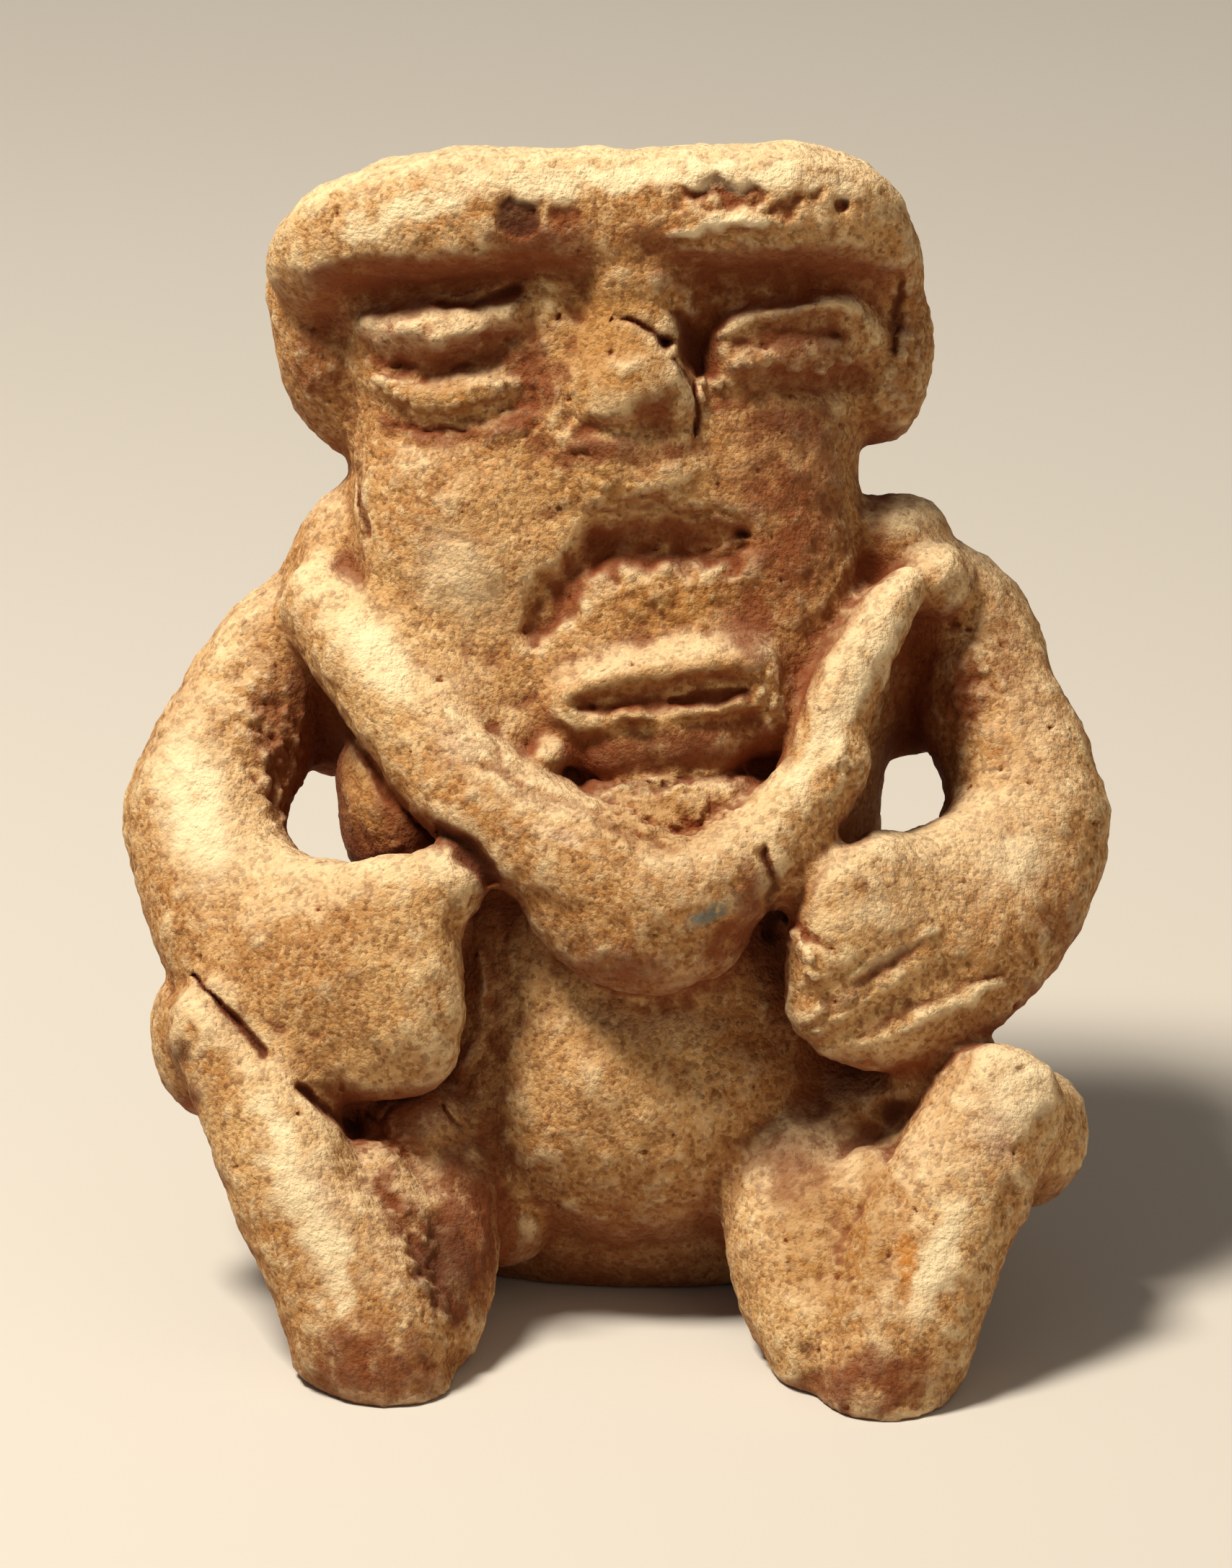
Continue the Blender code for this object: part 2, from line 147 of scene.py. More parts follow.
@dataclass(frozen=True)
class Stroke:
    """A mark along a path on the front, such as the cut of a stick, a ridge or a crack.

    The path has points of across, up and half width, in millimetres as seen. The strength of the trace
    is 0 to 1. A rise below 0 cuts in. An edge of 1 is round, and a small one is steep. Only clay that
    stands out past the lowest is marked, and ragged is how far the outline strays.
    """

    path: tuple[tuple[float, float, float], ...]
    trace: Trace = Trace.NONE
    strength: float = 1.0
    rise: float = 0.0
    edge: float = 1.0
    lowest: float = 3.0
    ragged: float = 0.6

    def share(self, seen: np.ndarray) -> np.ndarray:
        """Tells how much of the mark each place has.

        Args:
            seen: Places as the camera sees them.

        Returns:
            1 on the path, falling to 0 at its half width.
        """
        line = through(self.path)
        near = np.zeros(len(seen))
        for start, end in zip(line, line[1:]):
            span = end[:2] - start[:2]
            offset = seen - start[:2]
            along = np.clip(offset @ span / max(span @ span, 1e-9), 0.0, 1.0)
            away = np.hypot(*(offset - along[:, None] * span).T)
            half_width = start[2] + along * (end[2] - start[2])
            near = np.maximum(near, 1.0 - away / half_width)
        return smooth_step(near / self.edge)

    def reach(self) -> tuple[np.ndarray, np.ndarray]:
        """Gives the lowest and highest corner of the mark."""
        rows = np.array(self.path)
        wide = rows[:, 2].max() + self.ragged
        return rows[:, :2].min(0) - wide, rows[:, :2].max(0) + wide


@dataclass(frozen=True)
class Patch:
    """A mark with an oval outline on the front, such as a stain, a pit, a chip or a crumb.

    The oval has a centre, half sizes along and across, and a turn in degrees. The rest is as in a stroke.
    """

    centre: tuple[float, float]
    half: tuple[float, float]
    trace: Trace = Trace.NONE
    strength: float = 1.0
    turn: float = 0.0
    rise: float = 0.0
    edge: float = 0.8
    lowest: float = 3.0
    ragged: float = 1.2

    def share(self, seen: np.ndarray) -> np.ndarray:
        """Tells how much of the mark each place has: 1 in its middle, and 0 outside."""
        turn = math.radians(self.turn)
        offset = seen - np.array(self.centre)
        long = (offset[:, 0] * math.cos(turn) + offset[:, 1] * math.sin(turn)) / self.half[0]
        wide = (offset[:, 1] * math.cos(turn) - offset[:, 0] * math.sin(turn)) / self.half[1]
        return smooth_step((1.0 - np.hypot(long, wide)) / self.edge)

    def reach(self) -> tuple[np.ndarray, np.ndarray]:
        """Gives the lowest and highest corner of the mark."""
        wide = max(self.half) + self.ragged
        return np.array(self.centre) - wide, np.array(self.centre) + wide


Mark = Stroke | Patch


@dataclass(frozen=True)
class Marked:
    """A part of the figure, whose fields are its groups of marks."""

    def marks(self) -> tuple[Mark, ...]:
        """Gives all the marks of the part, in the order of its fields."""
        return tuple(mark for field in fields(self) for mark in getattr(self, field.name))


@dataclass(frozen=True)
class Face(Marked):
    """The brow, the eyes, the nose and the mouth."""

    brow: tuple[Mark, ...] = (
        # scar and stain in the middle, and painted shade on the brow's lower half around them
        Patch((-8.4, 104.0), (2.6, 2.1), Trace.BROWN, rise=-0.5, edge=0.4, ragged=0.7),
        Patch((-4.3, 104.2), (1.6, 1.8), Trace.RED, 0.8, rise=-0.3, edge=0.5, ragged=0.8),
        Patch((-6.4, 102.2), (6.4, 3.4), Trace.RED, 0.9, edge=0.6, ragged=1.5),
        # rubbed front edge, also a painted highlight along the lit top
        Stroke(((-22.5, 103.0, 2.2), (-13.0, 106.4, 2.4), (0.0, 107.4, 2.0),
                (12.0, 107.6, 1.8), (20.0, 106.2, 1.8)),
               Trace.WORN, 0.9, ragged=1.8),
        # broken top on the left
        Patch((3.4, 102.0), (5.0, 2.6), Trace.RED, 0.7, edge=0.7, ragged=1.5),
        Patch((9.2, 106.0), (4.8, 1.7), Trace.RED, 0.9, turn=6.0, rise=-0.8, edge=0.6, ragged=1.4),
        Patch((9.6, 105.4), (5.2, 2.6), Trace.GRIT, 0.7, turn=8.0, edge=0.6, ragged=1.4),
        Patch((14.4, 104.6), (2.6, 1.0), Trace.RED, 0.8, turn=10.0, rise=-0.4, ragged=1.4),
        Patch((17.2, 105.8), (1.0, 0.6), Trace.BROWN, 0.4, turn=20.0, rise=-0.3, ragged=0.8),
        Patch((19.6, 105.1), (0.8, 0.7), Trace.BROWN, 0.9, rise=-0.8, ragged=0.4),
        Stroke(((5.4, 102.6, 0.8), (9.4, 103.8, 0.9), (12.6, 103.4, 0.8)),
               Trace.WORN, 0.8, rise=0.5, edge=0.9, ragged=0.9),
        # cut under the brow, and painted shade under the brow and on the right temple
        Stroke(((-15.4, 96.4, 0.5), (-12.0, 96.7, 0.8), (-8.6, 97.8, 0.7)),
               Trace.BROWN, 0.7, rise=-0.8, ragged=0.25),
        Stroke(((-25.0, 98.6, 3.0), (-16.0, 99.4, 3.0), (-7.0, 99.8, 2.6)),
               Trace.RED, rise=0.2, lowest=0.0, ragged=1.2),
        Stroke(((5.0, 99.4, 3.4), (14.0, 99.6, 4.0), (22.0, 99.2, 3.4)),
               Trace.RED, 0.8, rise=0.8, lowest=0.0, ragged=1.0),
        Patch((-24.5, 95.0), (3.6, 5.0), Trace.RED, 0.9, edge=0.9, lowest=-6.0),
    )
    right_eye: tuple[Mark, ...] = (
        # upper lid
        Stroke(((-21.2, 94.4, 1.8), (-18.4, 94.0, 2.6), (-14.6, 93.9, 2.4), (-9.4, 95.1, 1.9)),
               Trace.GREY, 0.5, rise=0.6, ragged=0.9),
        Patch((-17.8, 94.3), (1.8, 1.4), rise=0.6, edge=1.0, ragged=0.5),
        Patch((-12.0, 94.3), (1.7, 1.1), turn=10.0, rise=0.4, edge=1.0, ragged=0.5),
        Patch((-15.2, 92.8), (1.1, 1.0), Trace.GREY, 0.4, rise=0.7, edge=1.0, ragged=0.5),
        Stroke(((-20.4, 93.0, 1.5), (-18.0, 92.6, 1.9), (-12.0, 93.4, 1.2)),
               Trace.GREY, 0.4, rise=0.6, ragged=0.9),
        # slit, filled with earth and painted dark in its groove as shade
        Stroke(((-20.8, 91.5, 1.3), (-16.4, 91.2, 1.8), (-12.5, 91.4, 1.8), (-8.8, 92.2, 1.4)),
               Trace.RED, rise=0.7, ragged=0.9),
        Patch((-18.6, 91.2), (1.7, 0.55), Trace.HOLLOW, 0.7, rise=-0.6, edge=1.0, ragged=0.6),
        Patch((-15.0, 88.4), (6.5, 2.2), Trace.OCHRE),
        Patch((-13.2, 91.0), (1.8, 0.5), Trace.HOLLOW, 0.7, turn=4.0, rise=-0.6, edge=1.0, ragged=0.6),
        # lower lid, and the fold under it, painted dark as shade
        Stroke(((-20.0, 89.6, 1.1), (-17.2, 88.6, 1.4), (-13.4, 88.1, 1.5), (-8.6, 89.6, 1.2)),
               Trace.GRIT, 0.8, rise=0.2, ragged=0.9),
        Stroke(((-19.8, 86.6, 1.3), (-17.2, 85.6, 1.8), (-13.0, 85.2, 1.9), (-7.6, 86.8, 1.4)),
               Trace.RED, rise=0.6, ragged=0.9),
        Stroke(((-18.8, 86.3, 0.4), (-16.0, 85.6, 0.6), (-13.0, 85.6, 0.4)), Trace.HOLLOW, 0.6, rise=-0.5),
    )
    left_eye: tuple[Mark, ...] = (
        # rim
        Stroke(((8.7, 94.0, 1.0), (11.1, 95.4, 1.1), (14.8, 96.1, 1.2), (19.1, 96.7, 1.2),
                (21.4, 95.6, 1.2), (22.3, 93.7, 1.2), (21.4, 91.7, 1.1)),
               rise=0.9, ragged=0.4),
        # slit, painted red-brown and dark in its depth as shade
        Stroke(((10.6, 93.3, 1.3), (14.0, 93.6, 1.7), (17.6, 93.9, 1.7), (19.8, 93.9, 1.3)),
               Trace.RED, rise=-0.3),
        Patch((18.8, 93.7), (0.9, 0.5), Trace.BROWN, 0.8, rise=-0.6, edge=1.0, ragged=0.4),
        Patch((12.6, 92.9), (1.6, 0.45), Trace.HOLLOW, 0.7, turn=6.0, rise=-0.5, edge=1.0, ragged=0.5),
        # lower rim, and the fold under it, painted as shade
        Stroke(((7.4, 89.0, 1.0), (10.5, 90.9, 1.2), (13.6, 91.6, 1.2),
                (17.3, 91.2, 1.1), (20.3, 91.8, 1.0)),
               Trace.GRIT, 0.8, rise=0.5, ragged=0.8),
        Stroke(((8.4, 87.2, 1.0), (12.0, 88.8, 1.3), (16.0, 89.2, 1.3), (20.4, 90.0, 1.0)),
               Trace.RED, 0.8, rise=-0.2, ragged=1.0),
        # crack at the temple
        Stroke(((24.6, 98.6, 0.7), (24.2, 95.6, 0.9), (23.9, 92.4, 0.7)),
               Trace.BROWN, 0.7, rise=-0.8, lowest=-6.0, ragged=0.5),
        # painted shade over the eye and under it
        Patch((15.5, 92.0), (10.0, 7.5), Trace.RED, 0.8, edge=0.9, ragged=1.5),
        Patch((15.0, 86.2), (7.6, 3.0), Trace.BROWN, 0.4, edge=0.9),
        Patch((15.0, 86.0), (8.4, 4.2), Trace.RED, 0.9, ragged=1.5),
    )
    nose: tuple[Mark, ...] = (
        # bridge and sides, with painted shade beside the top of the bridge, and red-brown grit on the right
        # side
        Stroke(((7.8, 99.6, 2.4), (7.6, 96.6, 2.6)), Trace.RED, 0.6, rise=1.2, lowest=0.0, ragged=0.8),
        Stroke(((-6.2, 96.6, 3.4), (-5.6, 91.5, 3.8), (-5.4, 87.0, 3.0)), rise=1.3, ragged=0.8),
        Patch((-0.5, 93.0), (6.4, 8.0), Trace.OCHRE, edge=0.7),
        Patch((-6.9, 90.6), (3.4, 7.5), Trace.RED, edge=0.9, ragged=1.6),
        Patch((-6.5, 90.6), (2.8, 6.8), Trace.GRIT, 0.6, edge=0.9),
        # crack over the broken tip
        Stroke(((-0.4, 95.2, 0.2), (1.4, 95.1, 0.32), (3.0, 94.6, 0.45), (4.0, 93.4, 0.6)),
               Trace.BROWN, 0.8, rise=-0.7, ragged=0.4),
        Stroke(((4.8, 91.9, 0.45), (6.1, 90.2, 0.5), (6.9, 88.4, 0.45), (6.8, 85.2, 0.35)),
               Trace.BROWN, 0.7, rise=-0.7, ragged=0.5),
        # pocket beside the tip, cut in and painted dark as shade
        Stroke(((5.2, 95.6, 1.0), (6.2, 93.2, 1.9), (7.0, 90.6, 1.0)),
               Trace.HOLLOW, 0.8, rise=-1.2, edge=0.9, ragged=0.5),
        Patch((4.2, 93.2), (0.9, 1.0), Trace.BROWN, turn=20.0, rise=-1.7, ragged=0.3),
        # tip, with a painted highlight on its crest, red-brown on the broken facet, and painted shade on the
        # underside
        Patch((0.8, 91.2), (2.8, 1.4), Trace.WORN, 0.5, turn=12.0, rise=0.4, edge=1.0, ragged=1.0),
        Patch((3.6, 87.0), (3.2, 3.8), Trace.RED, 0.9, turn=10.0, rise=-0.2, edge=1.0, ragged=1.6),
        Patch((-2.6, 85.8), (2.8, 1.4), Trace.RED, 0.9, turn=10.0, rise=-0.2, ragged=0.9),
        Stroke(((-6.9, 84.6, 1.6), (-3.0, 84.0, 2.4), (1.5, 83.8, 2.4), (5.6, 84.2, 1.8)),
               Trace.RED, rise=0.2, ragged=1.4),
        Patch((-3.0, 83.6), (1.7, 0.4), Trace.HOLLOW, 0.6, turn=-6.0, rise=-0.5, edge=1.0, ragged=0.6),
    )
    lip: tuple[Mark, ...] = (
        # earth under the nose, with painted shade along its lower edge
        Patch((-2.0, 80.8), (7.5, 2.6), Trace.OCHRE, 0.8, rise=0.4, edge=1.0),
        Patch((-2.0, 81.0), (8.5, 3.0), Trace.GRIT, 0.6, edge=1.0),
        Stroke(((-0.9, 78.8, 0.9), (3.5, 79.0, 1.0), (9.8, 78.2, 0.9)),
               Trace.HOLLOW, 0.5, rise=-0.3, ragged=0.9),
        # sunk lip, cut in, and painted shade in the recess under the nose and down the fold
        Stroke(((-0.4, 76.4, 2.4), (4.0, 76.6, 3.0), (10.4, 76.2, 2.4)), Trace.RED, rise=-0.1, ragged=1.3),
        Stroke(((-1.0, 74.2, 1.6), (4.0, 74.6, 1.9), (10.4, 74.4, 1.6)), Trace.RED, rise=-0.9, ragged=1.3),
        Stroke(((-1.4, 75.4, 2.4), (-3.6, 72.2, 3.0), (-6.4, 68.4, 2.2)), Trace.RED, rise=-0.8, ragged=1.3),
        Patch((10.9, 76.8), (1.1, 0.7), Trace.BROWN, 0.9, rise=-1.0, edge=0.9, ragged=0.6),
        # raised middle
        Patch((4.6, 71.0), (8.0, 4.4), Trace.OCHRE, rise=0.5, edge=1.0),
        Patch((4.6, 71.4), (7.8, 4.2), Trace.GRIT, 0.7, edge=0.9),
    )
    mouth: tuple[Mark, ...] = (
        # upper lip
        Stroke(((-3.9, 63.3, 1.4), (0.3, 64.1, 1.6), (5.1, 64.9, 1.7), (11.6, 65.5, 1.5)),
               Trace.OCHRE, 0.9, rise=0.7, edge=0.9),
        # slit, with a second line in it, painted dark in its depth as shade
        Stroke(((-3.0, 61.5, 0.6), (0.3, 61.8, 0.85), (5.1, 62.2, 1.05), (11.2, 62.9, 1.05)),
               Trace.RED, rise=-0.4, ragged=0.5),
        Stroke(((4.6, 62.4, 0.4), (8.2, 62.8, 0.6), (11.0, 63.3, 0.5)),
               Trace.HOLLOW, 0.7, rise=-0.6, ragged=0.5),
        Patch((-1.9, 61.7), (0.9, 0.4), Trace.HOLLOW, 0.8, rise=-0.5, edge=1.0, ragged=0.5),
        Patch((1.5, 61.2), (2.2, 0.9), Trace.OCHRE, turn=4.0, rise=1.0, ragged=0.7),
        # lower lip, with painted shade on its face that turns down
        Stroke(((-3.6, 59.6, 0.9), (0.4, 60.3, 1.1), (6.7, 61.2, 1.1), (12.2, 62.0, 0.9)),
               Trace.OCHRE, 0.8, rise=0.3),
        Stroke(((-3.4, 57.4, 2.2), (1.9, 57.8, 2.6), (6.7, 58.4, 2.6), (11.8, 59.4, 2.2)),
               Trace.RED, edge=0.6),
        # chin, with a painted shade line under the lip
        Patch((3.8, 52.0), (10.2, 4.6), Trace.OCHRE, turn=6.0, ragged=0.8),
        Patch((3.8, 52.6), (9.8, 4.2), Trace.GRIT, 0.9, turn=6.0, edge=0.7),
        Stroke(((-4.1, 55.8, 0.6), (2.9, 55.0, 0.7), (10.4, 56.2, 0.6)),
               Trace.HOLLOW, 0.5, rise=-0.5, ragged=0.9),
        Patch((13.6, 62.8), (2.0, 2.8), Trace.GRIT, rise=0.3, ragged=0.9),
        # pits, painted dark as shade, and a crumb at the right end
        Patch((-4.2, 56.0), (0.8, 0.9), Trace.BROWN, 0.9, rise=-0.9, edge=0.9, ragged=0.5),
        Patch((3.9, 55.4), (0.7, 0.6), Trace.BROWN, 0.9, rise=-0.7, edge=0.9, ragged=0.5),
        Patch((10.6, 56.4), (1.1, 0.7), Trace.BROWN, 0.9, turn=30.0, rise=-0.9, edge=0.9, ragged=0.5),
        Patch((-6.6, 57.2), (1.8, 1.5), Trace.OCHRE, 0.8, rise=0.9, edge=1.0, ragged=0.5),
    )
    cheeks: tuple[Mark, ...] = (
        # crack and wrinkles on the right
        Stroke(((-22.3, 82.4, 0.35), (-21.7, 79.4, 0.5), (-21.6, 76.6, 0.7)),
               Trace.BROWN, 0.6, rise=-0.8, lowest=-6.0, ragged=0.5),
        Stroke(((-20.4, 80.0, 0.6), (-17.0, 77.0, 0.9), (-13.0, 76.4, 0.6)), rise=-0.2, ragged=0.25),
        Stroke(((-20.0, 77.0, 0.6), (-17.4, 74.4, 0.9), (-13.6, 73.8, 0.6)), rise=-0.2, ragged=0.25),
        # painted shade over the left cheek and beside the chin, grit, wear and a painted highlight on the
        # right cheek, red-brown earth on the right ear, and painted shade on the left ear
        Patch((14.8, 78.5), (9.6, 16.0), Trace.RED, 0.9, turn=-6.0, edge=0.9, lowest=-6.0, ragged=1.5),
        Patch((11.6, 68.8), (4.4, 6.5), Trace.RED, 0.9, edge=0.9, ragged=1.5),
        Patch((17.4, 74.0), (5.0, 7.0), Trace.GRIT, 0.4, turn=-30.0, edge=0.9, lowest=0.0, ragged=1.5),
        Patch((-13.5, 73.0), (6.0, 9.0), Trace.WORN, 0.5, turn=30.0, edge=0.9, lowest=0.0, ragged=1.5),
        Patch((-26.0, 92.0), (3.6, 7.0), Trace.RED, 0.8, turn=10.0, lowest=-10.0),
        Patch((-25.6, 91.0), (3.6, 7.0), Trace.GRIT, 0.5, turn=10.0, lowest=-10.0),
        Patch((25.0, 92.0), (3.4, 9.5), Trace.GRIT, 0.6, turn=-6.0, lowest=-10.0),
        Patch((25.0, 92.0), (3.4, 9.5), Trace.RED, 0.5, turn=-6.0, lowest=-10.0),
    )


@dataclass(frozen=True)
class Chest(Marked):
    """The collar and the pendant that hangs from it."""

    collar: tuple[Mark, ...] = (
        # underside on the right, cut in and painted as shade
        Stroke(((-22.6, 58.8, 0.6), (-18.6, 53.6, 0.9), (-15.0, 50.0, 0.8)),
               Trace.RED, rise=-0.7, ragged=0.5),
        Stroke(((-15.2, 51.6, 0.8), (-12.6, 49.2, 1.6), (-10.6, 47.0, 1.0)),
               Trace.BROWN, 0.8, rise=-1.4, edge=0.9),
        # rubbed and grey clay, with painted highlight on the lit faces of the collar and painted shade along
        # its edges
        Patch((-20.5, 66.0), (3.6, 6.8), Trace.WORN, turn=38.0, ragged=0.5),
        Patch((-14.0, 58.6), (3.2, 4.0), Trace.GREY, 0.5, turn=38.0),
        Stroke(((-10.8, 59.9, 0.9), (-10.2, 57.6, 1.1), (-8.1, 54.9, 0.9)),
               Trace.RED, 0.6, rise=-0.3, ragged=0.8),
        Patch((20.0, 57.4), (3.0, 3.4), Trace.GRIT, 0.5, rise=0.3, ragged=1.0),
        Stroke(((24.0, 69.0, 1.8), (19.8, 62.0, 2.2), (15.8, 55.6, 2.0)), Trace.WORN, 0.8, ragged=1.2),
        Patch((-19.0, 52.6), (2.4, 5.0), Trace.RED, 0.8, turn=40.0, edge=0.9, lowest=0.0, ragged=1.0),
    )
    pendant: tuple[Mark, ...] = (
        # fold where it hangs from the collar, painted as shade
        Stroke(((-11.0, 56.6, 0.8), (-8.1, 54.4, 1.1), (-2.8, 53.0, 1.1),
                (0.0, 51.4, 1.1), (4.8, 49.4, 1.2)),
               Trace.RED, 0.5, rise=-0.3, ragged=0.9),
        # stains, and painted shade on the pendant's lower edge and right side
        Patch((-4.6, 50.6), (3.6, 1.7), Trace.GREY, 0.6, turn=-10.0, ragged=1.0),
        Patch((7.8, 43.8), (3.0, 0.8), Trace.BLUE, turn=34.0, ragged=0.9),
        Patch((9.6, 41.6), (4.4, 2.4), Trace.RED, turn=30.0, edge=0.7, ragged=0.9),
        Patch((0.0, 39.8), (9.0, 2.8), Trace.RED, 0.7),
        Patch((11.6, 45.6), (1.8, 4.4), Trace.RED, 0.9, ragged=0.9),
        # gap beside the wrist, painted dark as shade
        Stroke(((12.8, 49.4, 0.8), (13.6, 45.7, 1.1), (13.4, 42.4, 0.8)), Trace.BROWN, 0.7, rise=-0.8),
    )


@dataclass(frozen=True)
class Arms(Marked):
    """The arms and the hands, with the web that joins the right arm to the collar."""

    right_arm: tuple[Mark, ...] = (
        # fist, with cracks in the earth under it and painted shade beneath it
        Patch((-26.2, 33.7), (1.5, 1.0), Trace.RED, 0.6, rise=-0.5, edge=1.0, ragged=0.8),
        Stroke(((-11.6, 40.6, 0.7), (-11.6, 33.6, 0.8), (-14.0, 30.2, 0.8)), rise=0.3, edge=0.8, ragged=0.25),
        Stroke(((-21.6, 26.9, 0.35), (-20.3, 26.2, 0.4), (-19.4, 27.4, 0.35)),
               Trace.BROWN, 0.7, rise=-0.6, ragged=0.25),
        Stroke(((-15.0, 27.4, 0.35), (-14.2, 26.4, 0.4), (-13.4, 25.6, 0.35)),
               Trace.BROWN, 0.7, rise=-0.6, ragged=0.25),
        Patch((-17.0, 27.0), (5.0, 2.8), Trace.RED, lowest=0.0),
        # gritty inner side of the arm, with painted shade
        Patch((-30.0, 58.4), (4.6, 8.8), Trace.GRIT, turn=8.0, lowest=-10.0, ragged=1.0),
        Patch((-29.2, 58.6), (3.8, 8.8), Trace.RED, 0.8, turn=8.0, lowest=-10.0, ragged=1.0),
        # web beside the gap
        Patch((-21.0, 53.0), (7.5, 4.4), Trace.OCHRE, turn=-45.0, edge=0.7, lowest=0.0, ragged=0.8),
        Patch((-21.0, 53.0), (7.5, 4.4), Trace.GRIT, 0.3, turn=-45.0, edge=0.7, lowest=0.0, ragged=0.8),
        # outer side of the arm, with wear and a painted highlight
        Patch((-36.4, 53.5), (5.0, 10.5), Trace.WORN, turn=8.0, edge=0.9, lowest=-10.0),
    )
    left_arm: tuple[Mark, ...] = (
        # fingers, with painted shade in the grooves and painted highlight on their tops
        Stroke(((18.4, 36.2, 0.8), (22.4, 38.9, 1.1), (26.2, 41.6, 0.7)),
               Trace.RED, 0.6, rise=-0.2, ragged=0.7),
        Stroke(((21.0, 33.4, 0.8), (25.0, 35.7, 1.1), (28.9, 37.6, 1.1), (32.8, 39.2, 0.7)),
               Trace.RED, 0.6, rise=-0.3, ragged=0.7),
        Stroke(((16.0, 34.0, 0.6), (19.0, 35.6, 0.8), (22.0, 37.6, 0.5)), Trace.RED, 0.5, rise=-0.3),
        Stroke(((24.8, 33.8, 0.8), (28.9, 36.2, 1.0), (32.8, 38.0, 0.8)), Trace.WORN, 0.5, rise=0.4),
        Stroke(((20.6, 38.8, 0.7), (24.0, 40.8, 0.9), (27.4, 42.6, 0.7)), Trace.WORN, 0.4, rise=0.3),
        # thumb, with painted shade in the groove beside it
        Stroke(((13.6, 45.1, 0.7), (15.3, 41.9, 1.0), (17.1, 38.6, 0.7)),
               Trace.GRIT, 0.9, rise=0.5, edge=0.8),
        Stroke(((14.8, 43.6, 0.35), (16.4, 42.2, 0.5), (19.0, 40.6, 0.35)), Trace.RED, 0.8, rise=-0.4),
        # red-brown on the elbow and forearm, and painted highlight on the hand and forearm
        Patch((35.7, 37.9), (1.6, 1.2), Trace.RED, 0.7, rise=0.3, lowest=-10.0, ragged=0.5),
        Patch((38.8, 43.0), (3.4, 6.0), Trace.RED, 0.5, turn=20.0, lowest=-10.0, ragged=1.4),
        Patch((22.5, 44.4), (6.5, 3.4), Trace.WORN, 0.5, edge=0.9, lowest=0.0, ragged=1.6),
        Patch((35.0, 48.4), (6.5, 4.6), Trace.WORN, 0.6, turn=20.0, edge=0.9, lowest=-6.0, ragged=1.6),
        # gritty inner side of the arm, with painted shade
        Patch((30.6, 63.4), (3.2, 6.0), Trace.GRIT, turn=-14.0, lowest=-10.0, ragged=1.0),
        Patch((29.6, 62.4), (3.2, 7.0), Trace.RED, 0.9, turn=-14.0, lowest=-10.0, ragged=1.0),
        Patch((33.6, 66.0), (3.4, 8.0), Trace.RED, 0.5, turn=14.0, edge=0.9, lowest=-10.0),
    )


